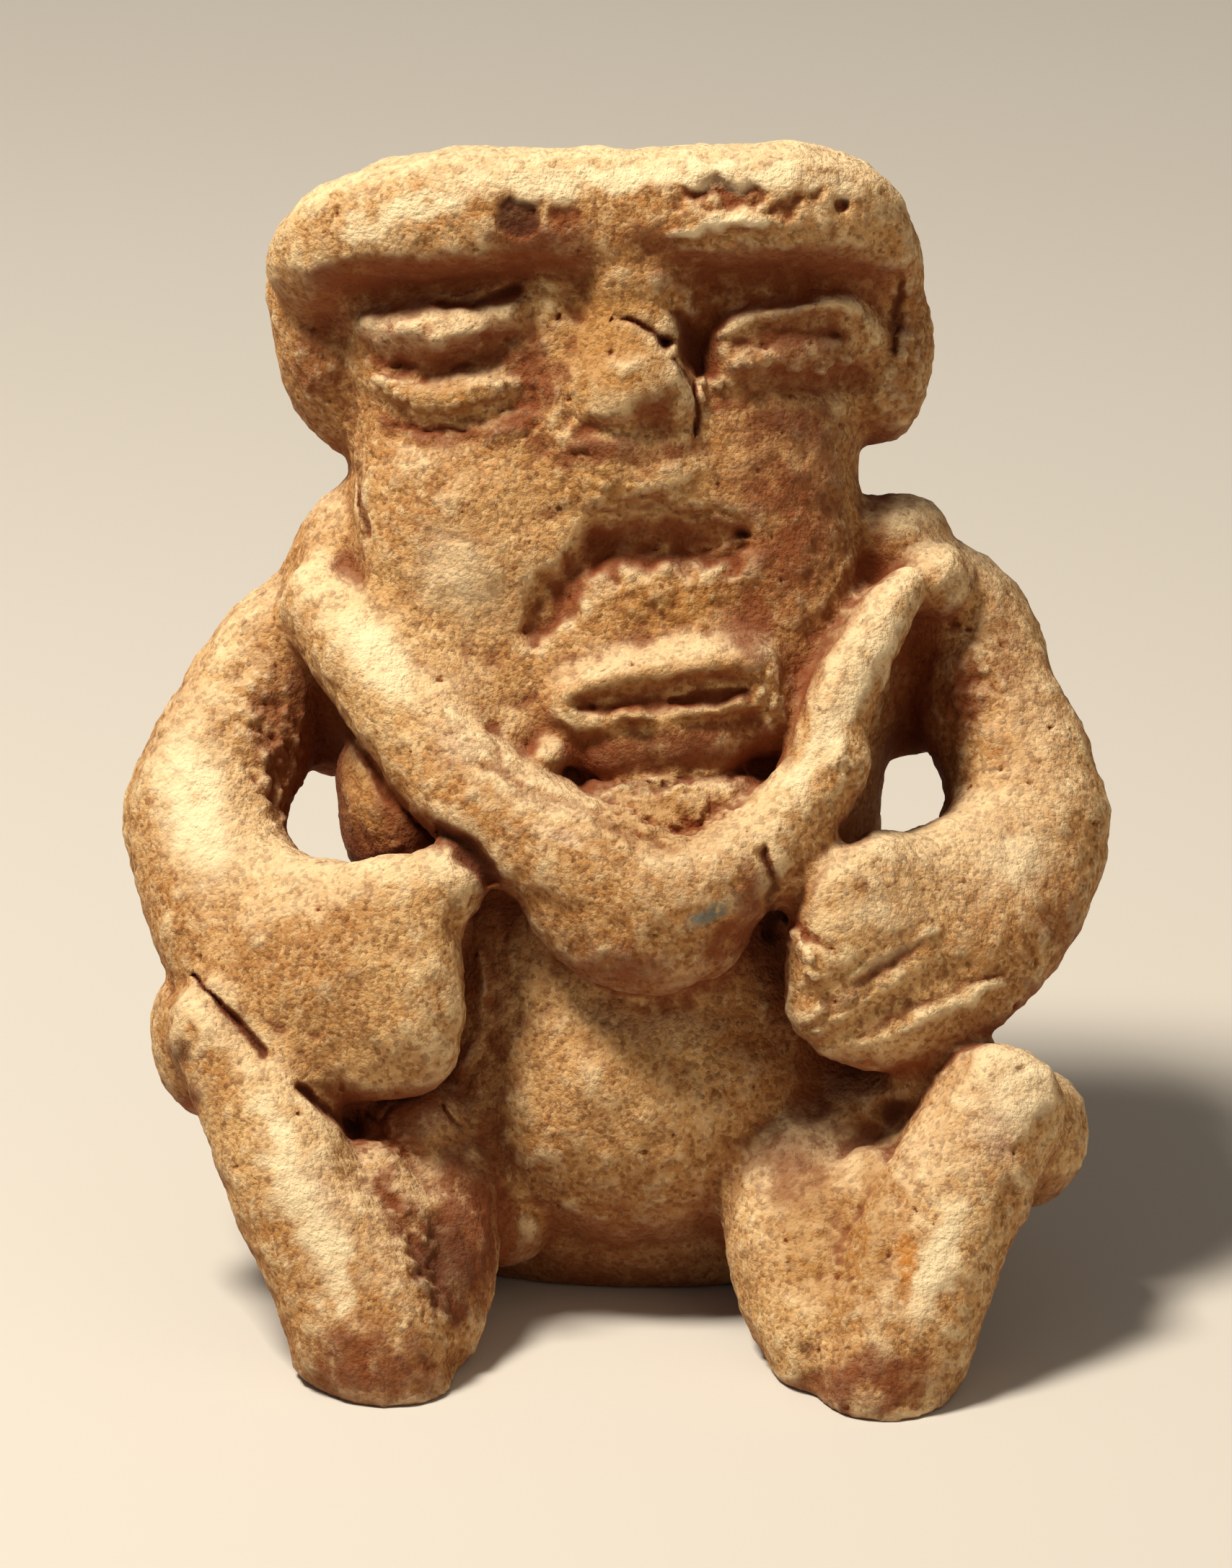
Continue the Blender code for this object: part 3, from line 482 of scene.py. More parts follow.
@dataclass(frozen=True)
class Legs(Marked):
    """The belly, the knees, the shins and the feet."""

    right_leg: tuple[Mark, ...] = (
        # slits between the forearm and the knee, painted dark as shade
        Stroke(((-36.3, 38.6, 0.35), (-33.2, 35.4, 0.5), (-30.4, 32.2, 0.75)),
               Trace.BROWN, 0.8, rise=-0.9, lowest=0.0, ragged=0.25),
        Stroke(((-27.3, 29.0, 0.5), (-25.2, 27.2, 0.75), (-23.0, 25.6, 0.6)),
               Trace.BROWN, 0.9, rise=-1.1, lowest=0.0, ragged=0.25),
        # gritty inner side, with painted shade down the calf and the fold
        Patch((-18.0, 25.0), (5.0, 5.0), Trace.RED, 0.8, turn=30.0, lowest=-3.0),
        Patch((-19.0, 23.6), (3.8, 4.0), Trace.GRIT, 0.9, turn=30.0, edge=0.9, lowest=-3.0),
        Stroke(((-20.6, 22.2, 2.4), (-17.6, 16.4, 4.0), (-14.6, 10.6, 3.2)),
               Trace.GRIT, 0.55, lowest=0.0, ragged=1.8),
        Stroke(((-20.0, 21.5, 1.6), (-17.0, 15.6, 2.4), (-13.6, 9.6, 1.8)),
               Trace.RED, lowest=0.0, ragged=1.4),
        Patch((-12.4, 18.0), (5.6, 12.0), Trace.RED, turn=6.0, edge=0.7, lowest=-10.0, ragged=1.5),
        Patch((-14.6, 13.6), (4.4, 8.0), Trace.BROWN, 0.7, turn=14.0, lowest=-10.0, ragged=1.6),
        # knee, shin and foot, with a painted highlight along the shin and painted shade on the foot's
        # downward front
        Patch((-37.5, 32.0), (1.4, 2.0), Trace.BROWN, 0.7, rise=-0.3, lowest=-10.0, ragged=0.5),
        Patch((-36.6, 27.6), (1.4, 2.4), Trace.RED, 0.9, lowest=-10.0, ragged=0.5),
        Patch((-25.0, 20.0), (2.6, 6.0), Trace.GREY, 0.6, turn=24.0, edge=0.9, ragged=1.4),
        Stroke(((-30.0, 27.0, 2.6), (-26.6, 19.0, 3.4), (-23.4, 11.0, 2.8)), Trace.WORN, 0.9, ragged=2.0),
        Patch((-21.0, 4.8), (10.0, 6.0), Trace.RED, turn=-6.0, lowest=-3.0, ragged=2.0),
    )
    left_leg: tuple[Mark, ...] = (
        # hollow under the hand, painted dark as shade, and the fold of the calf
        Patch((24.0, 27.2), (2.8, 1.6),
              Trace.BROWN, 0.9, turn=8.0, rise=-0.9, edge=0.9, lowest=0.0, ragged=0.5),
        Stroke(((21.5, 23.4, 1.8), (22.4, 18.5, 2.8), (21.8, 12.6, 2.4)),
               Trace.OCHRE, lowest=0.0, ragged=1.0),
        # knee, with a painted highlight on top
        Patch((34.5, 30.4), (0.8, 0.7), Trace.RED, 0.8, rise=-0.5, edge=1.0, ragged=0.5),
        Patch((36.2, 26.7), (0.9, 1.4), Trace.BROWN, 0.35, ragged=0.5),
        Patch((33.4, 21.1), (1.3, 1.9), Trace.BROWN, 0.35, turn=-30.0, ragged=0.5),
        Patch((33.0, 26.0), (3.6, 6.0), Trace.GREY, 0.6, turn=-20.0, edge=0.9),
        Patch((35.0, 28.5), (4.4, 5.4), Trace.WORN, 0.8, turn=-20.0, edge=0.9, ragged=1.6),
        # shin and foot, with a painted highlight along the shin and painted shade on the foot's downward
        # front and the inner thigh
        Patch((24.9, 13.2), (1.3, 4.6), Trace.RUST, 0.9, turn=4.0, rise=-0.3, edge=0.9),
        Patch((17.6, 16.4), (5.6, 10.0), Trace.OCHRE, turn=12.0, edge=0.7, lowest=-10.0, ragged=1.4),
        Patch((15.0, 22.0), (5.6, 4.6), Trace.RED, 0.7, turn=-30.0, lowest=-10.0, ragged=1.6),
        Patch((18.4, 14.4), (4.6, 8.6), Trace.GRIT, 0.5, turn=12.0, edge=0.9, lowest=-10.0, ragged=1.4),
        Patch((27.6, 14.0), (2.8, 9.0), Trace.WORN, turn=-22.0, edge=0.9, ragged=1.4),
        Patch((16.4, 6.6), (1.2, 1.6), Trace.BROWN, 0.6, rise=-0.3, ragged=0.5),
        Patch((21.5, 3.4), (10.0, 4.4), Trace.RED, turn=4.0, lowest=-3.0, ragged=2.0),
    )
    belly: tuple[Mark, ...] = (
        # painted shade over the belly, darker towards the bottom, a painted shadow of the arm down its right
        # side, and painted shade under the pendant
        Patch((0.0, 26.0), (15.0, 15.0), Trace.RED, 0.2, lowest=-10.0, ragged=1.5),
        Patch((0.0, 14.0), (16.0, 7.5), Trace.RED, 0.5, lowest=-20.0, ragged=1.5),
        Stroke(((-9.6, 45.0, 1.6), (-10.4, 35.0, 2.4), (-10.6, 24.0, 2.8)),
               Trace.RED, 0.4, rise=-0.3, lowest=-3.0, ragged=0.9),
        Patch((2.0, 31.0), (6.5, 6.0), Trace.OCHRE, 0.5, edge=0.9, lowest=0.0, ragged=1.5),
        Patch((10.6, 33.0), (3.6, 5.6), Trace.RED, 0.5, turn=20.0, edge=0.9, lowest=0.0, ragged=1.4),
    )


Steps = list[tuple[str, dict[str, Any]]]


def evaluated(mesh: bpy.types.Mesh, steps: Steps, groups: dict[str, np.ndarray]) -> bpy.types.Mesh:
    """Runs modifiers over a mesh.

    Args:
        mesh: The mesh, which is used up.
        steps: Each modifier's kind with its settings.
        groups: Vertex groups by name, with a weight for each vertex.

    Returns:
        The mesh that comes out.
    """
    carrier = bpy.data.objects.new("carrier", mesh)
    bpy.context.scene.collection.objects.link(carrier)
    for name, weights in groups.items():
        group = carrier.vertex_groups.new(name=name)
        for weight in np.unique(weights):
            group.add(np.flatnonzero(weights == weight).tolist(), float(weight), "REPLACE")
    for kind, settings in steps:
        modifier = carrier.modifiers.new(kind.lower(), kind)
        for name, value in settings.items():
            setattr(modifier, name, value)
    graph = bpy.context.evaluated_depsgraph_get()
    made = bpy.data.meshes.new_from_object(carrier.evaluated_get(graph))
    bpy.data.objects.remove(carrier)
    return made


def rows_of(mesh: bpy.types.Mesh, what: str) -> np.ndarray:
    """Reads a vector of each vertex, such as its place or its normal, as rows."""
    values = np.empty(len(mesh.vertices) * 3)
    mesh.vertices.foreach_get(what, values)
    return values.reshape(-1, 3)


@dataclass(frozen=True)
class Layer:
    """A layer of roughness, with lumps of this size in millimetres. The shift sets layers apart."""

    size: float
    shift: float
    height: float = 1.0
    grain_width: float = 0.55

    def soft(self, places: np.ndarray) -> np.ndarray:
        """Gives smooth lumps, from about -1 to 1 times the height, for each row of places."""
        scaled = places / self.size + self.shift
        return self.height * np.array([noise.noise(Vector(row)) for row in scaled.tolist()])

    def packed(self, places: np.ndarray) -> np.ndarray:
        """Gives packed round grains, 1 times the height on their tops and 0 between them."""
        scaled = places / self.size + self.shift
        nearest = np.array([noise.voronoi(Vector(row))[0][0] for row in scaled.tolist()])
        return self.height * np.clip(1.0 - (nearest / self.grain_width) ** 2, 0.0, 1.0)


@dataclass(frozen=True)
class Roughness:
    """The roughness of the clay, from the lumps that a hand leaves to grains of sand and pores."""

    hand_lumps: Layer = Layer(9.0, 3.0, 0.42)
    thumb_lumps: Layer = Layer(4.2, 5.0, 0.30)
    pebbles: Layer = Layer(2.1, 7.0, 0.17)
    small_pebbles: Layer = Layer(1.1, 9.0, 0.14)
    grains: Layer = Layer(0.9, 21.0)
    grain_height: float = 0.06
    grit_height: float = 0.38
    crumbs: Layer = Layer(1.7, 63.0)
    crumb_height: float = 0.75
    clusters: Layer = Layer(3.4, 71.0, 1.5)
    cluster_share: float = 0.3
    pores: Layer = Layer(0.9, 31.0)
    pore_depth: float = 0.38
    pore_start: float = 0.66
    pore_edge: float = 0.15

    def at(self, places: np.ndarray, grit: np.ndarray) -> np.ndarray:
        """Tells how far the rough clay stands out.

        Args:
            places: Rows of across, up and out.
            grit: How gritty each place is, from 0 to 1.

        Returns:
            A height in millimetres for each place.
        """
        lumps = self.hand_lumps.soft(places) + self.thumb_lumps.soft(places)
        pebbles = self.pebbles.soft(places) + self.small_pebbles.soft(places)
        grains = (self.grain_height + self.grit_height * grit) * self.grains.packed(places)
        clusters = smooth_step(self.cluster_share + self.clusters.soft(places))
        crumbs = self.crumb_height * grit * self.crumbs.packed(places) * clusters
        pores = -self.pore_depth * smooth_step((self.pores.soft(places) - self.pore_start) / self.pore_edge)
        return lumps + pebbles * (1 + grit) + grains + crumbs + pores


@dataclass(frozen=True)
class Filling:
    """Crumbly earth packed in a hollow: an oval lump across, up and out, turned about out."""

    centre: tuple[float, float, float]
    half: tuple[float, float, float]
    turn: float = 0.0

    def place(self) -> Matrix:
        """Gives the matrix that makes the lump from a ball of radius 1."""
        turn = Matrix.Rotation(math.radians(self.turn), 4, "Z")
        return Matrix.Translation(self.centre) @ turn @ Matrix.Diagonal((*self.half, 1.0))


@dataclass(frozen=True)
class ClaySkin:
    """The whole visible figurine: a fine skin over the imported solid."""

    layout: Layout = Layout()
    face: Face = Face()
    chest: Chest = Chest()
    arms: Arms = Arms()
    legs: Legs = Legs()
    roughness: Roughness = Roughness()
    under_nose: Filling = Filling((0.5, 84.0, 8.6), (8.0, 4.6, 5.6))
    lower_lip: Filling = Filling((3.8, 59.0, 9.2), (9.2, 4.6, 5.6), 6.0)
    under_lip: Filling = Filling((3.8, 51.8, 9.6), (11.0, 5.4, 6.4), 6.0)
    mouth_right: Filling = Filling((-5.4, 57.6, 11.5), (2.2, 2.0, 2.6))
    mouth_left: Filling = Filling((13.2, 61.4, 8.6), (3.0, 4.4, 4.6), -20.0)
    strand_end: Filling = Filling((27.2, 72.6, 2.0), (3.8, 3.6, 5.0), -40.0)
    beside_gap: Filling = Filling((-17.6, 53.0, 0.0), (6.4, 9.4, 10.5), 12.0)
    beside_belly: Filling = Filling((-9.8, 20.8, 4.0), (4.8, 7.0, 5.6), 8.0)
    right_thigh: Filling = Filling((-17.5, 25.5, 9.0), (5.0, 4.5, 5.0), 20.0)
    right_shin: Filling = Filling((-18.2, 16.5, 13.0), (4.4, 9.5, 6.2), 27.0)
    left_shin: Filling = Filling((21.4, 15.0, 12.8), (5.6, 9.5, 6.4), -4.0)
    voxel: float = 0.34
    quick_voxel: float = 0.6
    facet_passes: int = 14
    most_triangles: int = 194000
    back_facing: float = -0.1
    front_weight: float = 0.5
    front_care: float = 0.0002
    stray_across: Layer = Layer(1.6, 11.0)
    stray_up: Layer = Layer(1.6, 47.0)
    dip: float = 2.5
    rim: float = 0.25
    ground_fade: float = 1.2
    worn_passes: int = 24
    open_rays: int = 14
    open_reach: float = 14.0
    open_lift: float = 0.12

    def marks(self) -> tuple[Mark, ...]:
        """Gives every mark of the figure."""
        return self.face.marks() + self.chest.marks() + self.arms.marks() + self.legs.marks()

    def copy_solid(self, node: bpy.types.Object) -> bpy.types.Mesh:
        """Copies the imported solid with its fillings, laid out in the layout's millimetres."""
        shape = bmesh.new()
        shape.from_mesh(node.data)
        bmesh.ops.remove_doubles(shape, verts=shape.verts[:], dist=MM / 1000)
        shape.transform(self.layout.to_world().inverted())
        face = (self.under_nose, self.lower_lip, self.under_lip, self.mouth_right, self.mouth_left)
        chest = (self.strand_end, self.beside_gap, self.beside_belly)
        legs = (self.right_thigh, self.right_shin, self.left_shin)
        for filling in face + chest + legs:
            bmesh.ops.create_icosphere(shape, subdivisions=4, radius=1.0, matrix=filling.place())
        mesh = bpy.data.meshes.new("filled_solid")
        shape.to_mesh(mesh)
        shape.free()
        return mesh

    def cover(self, mesh: bpy.types.Mesh) -> bpy.types.Mesh:
        """Lays an even skin over the solid and rubs its facets out."""
        voxel = self.voxel
        passes = round(self.facet_passes * (self.voxel / voxel) ** 2)
        return evaluated(
            mesh,
            [
                ("REMESH", {"mode": "VOXEL", "voxel_size": voxel}),
                ("SMOOTH", {"factor": 0.5, "iterations": passes}),
            ],
            {},
        )

    def shares(self, mark: Mark, places: np.ndarray, facing: np.ndarray, seen: np.ndarray) -> np.ndarray:
        """Tells how much of a mark each place has.

        Args:
            mark: The mark.
            places: Rows of across, up and out.
            facing: How far each place faces out to the front, from -1 to 1.
            seen: The places as the camera sees them, strayed by the mark's ragged edge.

        Returns:
            A share from 0 to 1 for each place.
        """
        low, high = mark.reach()
        inside = np.all((seen > low) & (seen < high), axis=1) & (facing > 0.0)
        found = np.zeros(len(places))
        if inside.any():
            depth = (places[inside, 2] - mark.lowest) / self.dip
            depth = np.clip(depth, 0.0, 1.0) * np.clip(facing[inside] / self.rim, 0.0, 1.0)
            found[inside] = mark.share(seen[inside]) * depth
        return found

    def ragged_sight(self, places: np.ndarray) -> tuple[np.ndarray, np.ndarray]:
        """Gives the places as seen, and how each strays where a mark's edge is ragged."""
        shift = np.stack([self.stray_across.soft(places), self.stray_up.soft(places)], axis=1)
        return self.layout.as_seen(places), shift

    def work(self, mesh: bpy.types.Mesh) -> None:
        """Cuts and raises the marks, then roughens the clay."""
        places = rows_of(mesh, "co")
        facing = rows_of(mesh, "normal")[:, 2]
        seen, shift = self.ragged_sight(places)
        grit = np.zeros(len(places))
        moved = np.zeros(len(places))
        for mark in self.marks():
            share = self.shares(mark, places, facing, seen + shift * mark.ragged)
            moved += share * mark.rise
            if mark.trace is Trace.GRIT:
                grit = np.maximum(grit, share * mark.strength)
        places[:, 2] += moved
        mesh.vertices.foreach_set("co", places.ravel())
        mesh.update()
        normals = rows_of(mesh, "normal")
        rough = self.roughness.at(places, grit)
        world = self.layout.to_world()
        up = np.array(world.to_3x3())[2] / MM
        height = places @ up + world.translation.z / MM
        free = smooth_step(height / self.ground_fade)
        places += normals * (rough * free)[:, None]
        mesh.vertices.foreach_set("co", places.ravel())
        mesh.update()

    def thin(self, mesh: bpy.types.Mesh) -> bpy.types.Mesh:
        """Keeps the skin under its number of triangles, finer on the front than on the back."""
        mesh.calc_loop_triangles()
        ratio = min(1.0, self.most_triangles / len(mesh.loop_triangles))
        plain = np.where(rows_of(mesh, "normal")[:, 2] < self.back_facing, 1.0, self.front_weight)
        settings = {"ratio": ratio, "vertex_group": "plain", "vertex_group_factor": self.front_care}
        return evaluated(mesh, [("DECIMATE", settings)], {"plain": plain})

    def openness(self, mesh: bpy.types.Mesh) -> np.ndarray:
        """Tells how open each place is to the air: 1 on the free skin and near 0 deep in a hollow."""
        places = rows_of(mesh, "co")
        normals = rows_of(mesh, "normal")
        tree = BVHTree.FromPolygons(places.tolist(), [face.vertices[:] for face in mesh.polygons])
        golden = math.pi * (3.0 - math.sqrt(5.0))
        # The skin hardly ever faces this way, so it gives each place two directions along the skin.
        askew = np.array([0.3, 0.9, 0.31])
        blocked = np.zeros(len(places))
        for ray in range(self.open_rays):
            rise = math.sqrt((ray + 0.5) / self.open_rays)
            flat = math.sqrt(1.0 - rise * rise)
            lean = np.array([flat * math.cos(golden * ray), flat * math.sin(golden * ray), rise])
            side = np.cross(normals, askew)
            side /= np.linalg.norm(side, axis=1)[:, None] + 1e-9
            third = np.cross(normals, side)
            aims = side * lean[0] + third * lean[1] + normals * lean[2]
            starts = places + normals * self.open_lift
            hits = [
                tree.ray_cast(Vector(start), Vector(aim), self.open_reach)[3]
                for start, aim in zip(starts.tolist(), aims.tolist())
            ]
            blocked += np.array([0.0 if hit is None else 1.0 - hit / self.open_reach for hit in hits])
        return 1.0 - blocked / self.open_rays

    def paint(self, mesh: bpy.types.Mesh) -> None:
        """Writes the traces on the skin as attributes, and how open, raised and upward each place is, from
        which the material paints shade and highlight.
        """
        places = rows_of(mesh, "co")
        facing = rows_of(mesh, "normal")[:, 2]
        seen, shift = self.ragged_sight(places)
        traces = {trace: np.zeros(len(places)) for trace in Trace if trace is not Trace.NONE}
        for mark in self.marks():
            if mark.trace is not Trace.NONE:
                share = self.shares(mark, places, facing, seen + shift * mark.ragged) * mark.strength
                traces[mark.trace] = np.maximum(traces[mark.trace], share)
        for trace, values in traces.items():
            attribute = mesh.attributes.new(trace.value, "FLOAT", "POINT")
            attribute.data.foreach_set("value", values.astype(np.float32))
        soft = evaluated(mesh.copy(), [("SMOOTH", {"factor": 0.5, "iterations": self.worn_passes})], {})
        raised = np.einsum("ij,ij->i", places - rows_of(soft, "co"), rows_of(soft, "normal"))
        bpy.data.meshes.remove(soft)
        up = np.array(self.layout.to_world().to_3x3())[2] / MM
        upward = rows_of(mesh, "normal") @ up
        for name, values in (("open", self.openness(mesh)), ("raised", raised), ("upward", upward)):
            attribute = mesh.attributes.new(name, "FLOAT", "POINT")
            attribute.data.foreach_set("value", values.astype(np.float32))

    def build(self, node: bpy.types.Object, clay: bpy.types.Material) -> bpy.types.Object:
        """Makes the dressed figurine.

        Args:
            node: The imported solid.
            clay: The material of fired clay.

        Returns:
            The finished piece, with its place in its mesh.
        """
        mesh = self.cover(self.copy_solid(node))
        self.work(mesh)
        mesh = self.thin(mesh)
        self.paint(mesh)
        mesh.transform(self.layout.to_world())
        places = rows_of(mesh, "co")
        # Nothing reaches under the ground.
        places[:, 2] = np.maximum(places[:, 2], 0.0)
        mesh.vertices.foreach_set("co", places.ravel())
        mesh.update()
        mesh.shade_smooth()
        mesh.materials.clear()
        mesh.materials.append(clay)
        mesh.name = "clay_figurine"
        figurine = bpy.data.objects.new("clay_figurine", mesh)
        bpy.context.scene.collection.objects.link(figurine)
        return figurine


def linear(hex_colour: str) -> tuple[float, float, float, float]:
    """Turns an sRGB hex value into a linear colour with full alpha."""
    channels = [int(hex_colour[i : i + 2], 16) / 255 for i in (1, 3, 5)]
    bent = [c / 12.92 if c <= 0.04045 else ((c + 0.055) / 1.055) ** 2.4 for c in channels]
    return (bent[0], bent[1], bent[2], 1.0)


def per_mm(size: float) -> float:
    """Gives the scale of a pattern whose features are this many millimetres wide."""
    return 1.0 / (size * MM)


def add_node(
    tree: bpy.types.NodeTree, kind: str, settings: dict[str, Any] | None = None, **links: Any
) -> bpy.types.Node:
    """Adds a node.

    Args:
        tree: The material's node tree.
        kind: The node's type.
        settings: Values of the node's own properties.
        **links: Inputs by name, with _ for a space, or by i and a number. Each is a socket or a value.

    Returns:
        The node.
    """
    node = tree.nodes.new(kind)
    for name, value in (settings or {}).items():
        setattr(node, name, value)
    for name, value in links.items():
        key = int(name[1:]) if name[0] == "i" and name[1:].isdigit() else name.replace("_", " ")
        if isinstance(value, bpy.types.NodeSocket):
            tree.links.new(value, node.inputs[key])
        else:
            node.inputs[key].default_value = value
    return node


@dataclass(frozen=True)
class Cloud:
    """A soft random pattern in the clay, with lumps of this many millimetres."""

    size: float
    detail: float = 2.0
    roughness: float = 0.6


@dataclass(frozen=True)
class Coat:
    """A colour that covers the clay by a pattern, a trace or a shape of the skin.

    It grows from nothing where its source is low to its most where the source is high. A cloud may
    break it up.
    """

    colour: str
    source: str
    low: float = 0.0
    high: float = 1.0
    most: float = 1.0
    cloud: str = ""


@dataclass(frozen=True)
class FiredClay:
    """Low-fired earthenware, modelled by hand and long buried.

    It is matt and sandy to the eye and tan. Cream on its heights and on faces turned up is wear and painted
    highlight, and red-brown in its hollows, its creases and on faces turned down is painted shade.
    The sand is drawn somewhat coarser than the finest of the real one, so that it shows.
    """

    tan: str = "#b27e47"
    sand: float = 0.38
    roughness: float = 0.93
    specular: float = 0.25
    bump: float = 0.45
    sand_dent: float = -0.15
    break_up: tuple[float, float] = (0.22, 0.52)
    clouds: tuple[tuple[str, Cloud], ...] = (
        ("broad", Cloud(14.0, 3.0)),
        ("mottle", Cloud(3.2, 5.0, 0.65)),
        ("fleck", Cloud(1.3, 2.0)),
        ("dust", Cloud(0.7, 4.0, 0.65)),
    )
    coats: tuple[Coat, ...] = (
        Coat("#cca068", "broad", 0.38, 0.68),
        Coat("#9d6936", "mottle", 0.50, 0.72, 0.8),
        Coat("#bd9f8c", "grey", most=0.8, cloud="mottle"),
        Coat("#7a4820", "dust", 0.53, 0.65, 0.55),
        Coat("#ebca94", "dust", 0.46, 0.35, 0.4),
        Coat("#5a2f14", "grain", 0.40, 0.26, 0.22),
        Coat("#f0d9a8", "grain", 0.62, 0.78, 0.15),
        # cream on the heights: wear, and a painted highlight
        Coat("#f3ddb0", "raised", 0.03, 0.26, 0.5),
        # cream on faces that turn upward: painted highlight
        Coat("#f6e2b8", "upward", 0.4, 1.0, 0.5),
        Coat("#a06c2b", "ochre", most=0.55),
        # red-brown stains, and painted shade where the red trace lies on shaded slopes
        Coat("#763616", "red", most=0.87, cloud="mottle"),
        # red-brown in creases: painted shade
        Coat("#76391a", "raised", -0.03, -0.24, 0.75),
        # red-brown on faces that turn down, and deeper brown as the skin closes in: painted shade
        Coat("#7d3d1a", "upward", 0.0, -0.7, 0.7),
        Coat("#7d3d1a", "open", 0.95, 0.52, 0.95),
        Coat("#54290f", "open", 0.45, 0.12, 0.85),
        Coat("#5a2f14", "grain", 0.38, 0.26, 0.25),
        Coat("#6b3b1c", "fleck", 0.67, 0.74, 0.6),
        # cream where worn, and painted highlight on lit tops
        Coat("#f6e2b8", "worn", most=0.85, cloud="mottle"),
        # dark in slits and cuts: dirt and painted shade
        Coat("#5c2f17", "hollow", most=0.7),
        # dark brown in cracks and pits, and painted shade in gaps
        Coat("#4a2412", "brown", most=0.85),
        Coat("#b9741e", "rust", most=0.85, cloud="dust"),
        Coat("#727d76", "blue", most=0.85, cloud="dust"),
    )

    def build(self) -> bpy.types.Material:
        """Makes the material."""
        material = bpy.data.materials.new("low_fired_earthenware")
        material.use_nodes = True
        tree = material.node_tree
        shader = tree.nodes["Principled BSDF"]
        place = add_node(tree, "ShaderNodeTexCoord").outputs["Object"]
        grains = add_node(tree, "ShaderNodeTexVoronoi", Vector=place, Scale=per_mm(self.sand))
        sources = {"grain": grains.outputs["Color"]}
        for name, cloud in self.clouds:
            settings = {"Scale": per_mm(cloud.size), "Detail": cloud.detail, "Roughness": cloud.roughness}
            sources[name] = add_node(tree, "ShaderNodeTexNoise", Vector=place, **settings).outputs["Fac"]
        traces = [trace.value for trace in Trace if trace is not Trace.NONE]
        for name in traces + ["raised", "upward", "open"]:
            sources[name] = add_node(tree, "ShaderNodeAttribute", {"attribute_name": name}).outputs["Fac"]
        colour = linear(self.tan)
        eased = {"interpolation_type": "SMOOTHSTEP"}
        mixed = {"data_type": "RGBA", "clamp_factor": True}
        for coat in self.coats:
            share: Any = coat.most
            steps = [(sources[coat.source], coat.low, coat.high)]
            if coat.cloud:
                steps.append((sources[coat.cloud], *self.break_up))
            for value, low, high in steps:
                ends = {"From_Min": low, "From_Max": high, "To_Min": 0.0, "To_Max": share}
                share = add_node(tree, "ShaderNodeMapRange", eased, Value=value, **ends).outputs["Result"]
            covered = linear(coat.colour)
            colour = add_node(tree, "ShaderNodeMix", mixed, i0=share, i6=colour, i7=covered).outputs[2]
        tree.links.new(colour, shader.inputs["Base Color"])
        shader.inputs["Roughness"].default_value = self.roughness
        shader.inputs["Specular IOR Level"].default_value = self.specular
        dents = {"i0": grains.outputs["Distance"], "i1": self.sand_dent, "i2": sources["dust"]}
        height = add_node(tree, "ShaderNodeMath", {"operation": "MULTIPLY_ADD"}, **dents)
        bump = add_node(tree, "ShaderNodeBump", Distance=self.bump * MM, Height=height.outputs[0])
        tree.links.new(bump.outputs["Normal"], shader.inputs["Normal"])
        return material


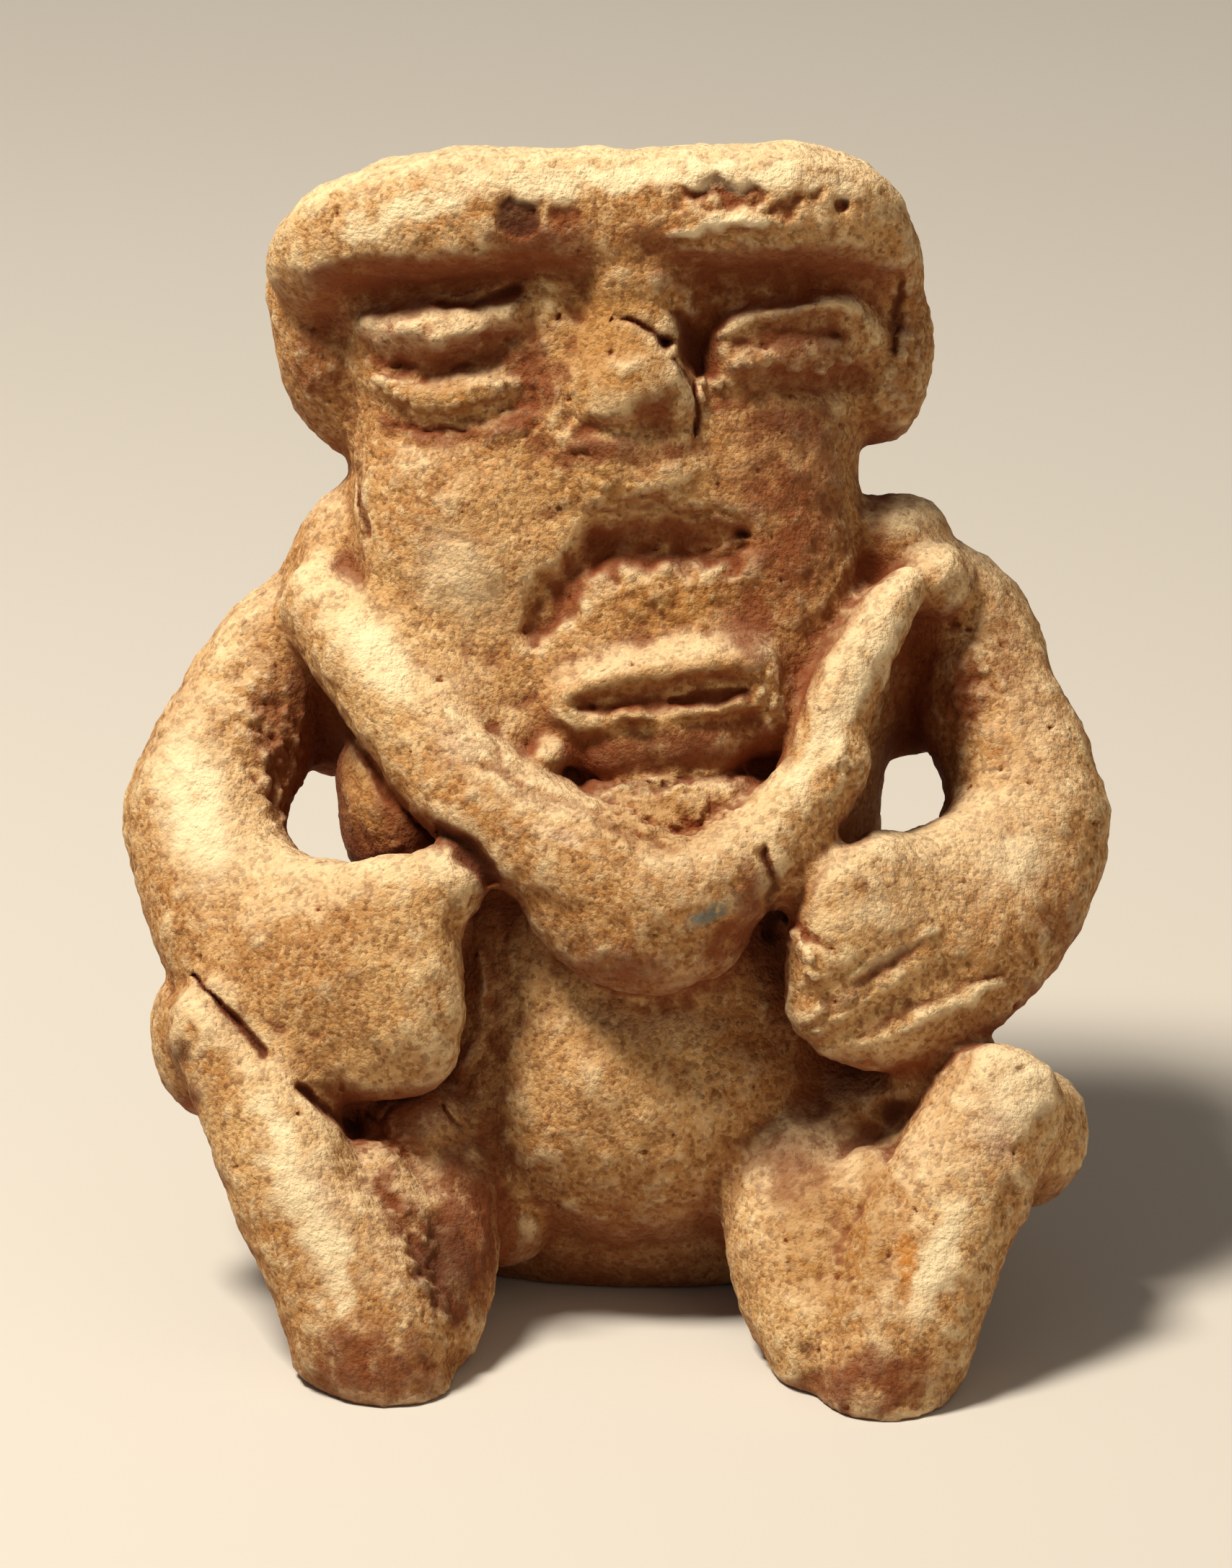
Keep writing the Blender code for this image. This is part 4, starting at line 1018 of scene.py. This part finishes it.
@dataclass(frozen=True)
class Studio:
    """A pale floor, soft light from the upper left and a long-lens camera."""

    layout: Layout = Layout()
    floor_radius: float = 4.0
    floor_colour: str = "#c8c4bc"
    floor_roughness: float = 0.9
    sensor: float = 36.0
    key_from: tuple[float, float, float] = (-265.0, 640.0, 300.0)
    key_size: float = 0.16
    key_energy: float = 8.2
    key_colour: str = "#fff4e4"
    fill_from: tuple[float, float, float] = (500.0, 160.0, 600.0)
    fill_size: float = 0.8
    fill_energy: float = 1.2
    fill_colour: str = "#ffdfba"
    sky: str = "#f2efe9"
    sky_strength: float = 0.16

    def lay_floor(self) -> bpy.types.Object:
        """Makes the floor, which isn't part of the object."""
        shape = bmesh.new()
        bmesh.ops.create_circle(shape, cap_ends=True, segments=96, radius=self.floor_radius)
        mesh = bpy.data.meshes.new("floor")
        shape.to_mesh(mesh)
        shape.free()
        paper = bpy.data.materials.new("matt_paper")
        paper.use_nodes = True
        shader = paper.node_tree.nodes["Principled BSDF"]
        shader.inputs["Base Color"].default_value = linear(self.floor_colour)
        shader.inputs["Roughness"].default_value = self.floor_roughness
        mesh.materials.append(paper)
        floor = bpy.data.objects.new("floor", mesh)
        bpy.context.scene.collection.objects.link(floor)
        return floor

    def hang_light(
        self, name: str, place: tuple[float, float, float], size: float, energy: float, colour: str
    ) -> None:
        """Hangs a square light that shines on the middle of the figure.

        Args:
            name: The light's name.
            place: Where it hangs, in the layout's millimetres.
            size: Its side, in metres.
            energy: Its power, in watts.
            colour: Its colour.
        """
        lamp = bpy.data.lights.new(name, "AREA")
        lamp.size = size
        lamp.energy = energy
        lamp.color = linear(colour)[:3]
        light = bpy.data.objects.new(name, lamp)
        bpy.context.scene.collection.objects.link(light)
        world = self.layout.to_world()
        spot = world @ Vector(place)
        middle = world @ Vector((0.0, self.layout.sight_up, 0.0))
        light.location = spot
        light.rotation_mode = "QUATERNION"
        light.rotation_quaternion = (middle - spot).to_track_quat("-Z", "Y")
        light.visible_camera = False

    def set_camera(self) -> None:
        """Puts the camera where the photograph was taken, level with the figure's middle along its lean."""
        lens = bpy.data.cameras.new("camera")
        lens.sensor_width = self.sensor
        lens.lens = self.sensor * self.layout.sight_out / self.layout.frame_height
        camera = bpy.data.objects.new("camera", lens)
        bpy.context.scene.collection.objects.link(camera)
        world = self.layout.to_world()
        spot = world @ Vector((0.0, self.layout.sight_up, self.layout.sight_out))
        camera.matrix_world = Matrix.Translation(spot) @ world.to_3x3().normalized().to_4x4()
        bpy.context.scene.camera = camera

    def build(self) -> None:
        """Sets up the floor, the lights, the sky and the camera."""
        self.lay_floor()
        self.hang_light("key", self.key_from, self.key_size, self.key_energy, self.key_colour)
        self.hang_light("fill", self.fill_from, self.fill_size, self.fill_energy, self.fill_colour)
        sky = bpy.data.worlds.new("sky")
        sky.use_nodes = True
        background = sky.node_tree.nodes["Background"]
        background.inputs["Color"].default_value = linear(self.sky)
        background.inputs["Strength"].default_value = self.sky_strength
        bpy.context.scene.world = sky
        bpy.context.scene.view_settings.view_transform = "Standard"
        self.set_camera()


def main() -> None:
    """Loads the frame, dresses the figurine and sets up the studio."""
    logging.basicConfig(level=logging.INFO, format="%(message)s")
    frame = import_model()
    clay = FiredClay().build()
    figurine = ClaySkin().build(frame["nodes"][NODE], clay)
    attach(figurine, "root")
    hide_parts(NODE)
    figurine.data.calc_loop_triangles()
    LOG.info("clay_figurine: %d triangles", len(figurine.data.loop_triangles))
    Studio().build()
    LOG.info("studio: floor, key, fill and camera")


if __name__ == "__main__":
    main()
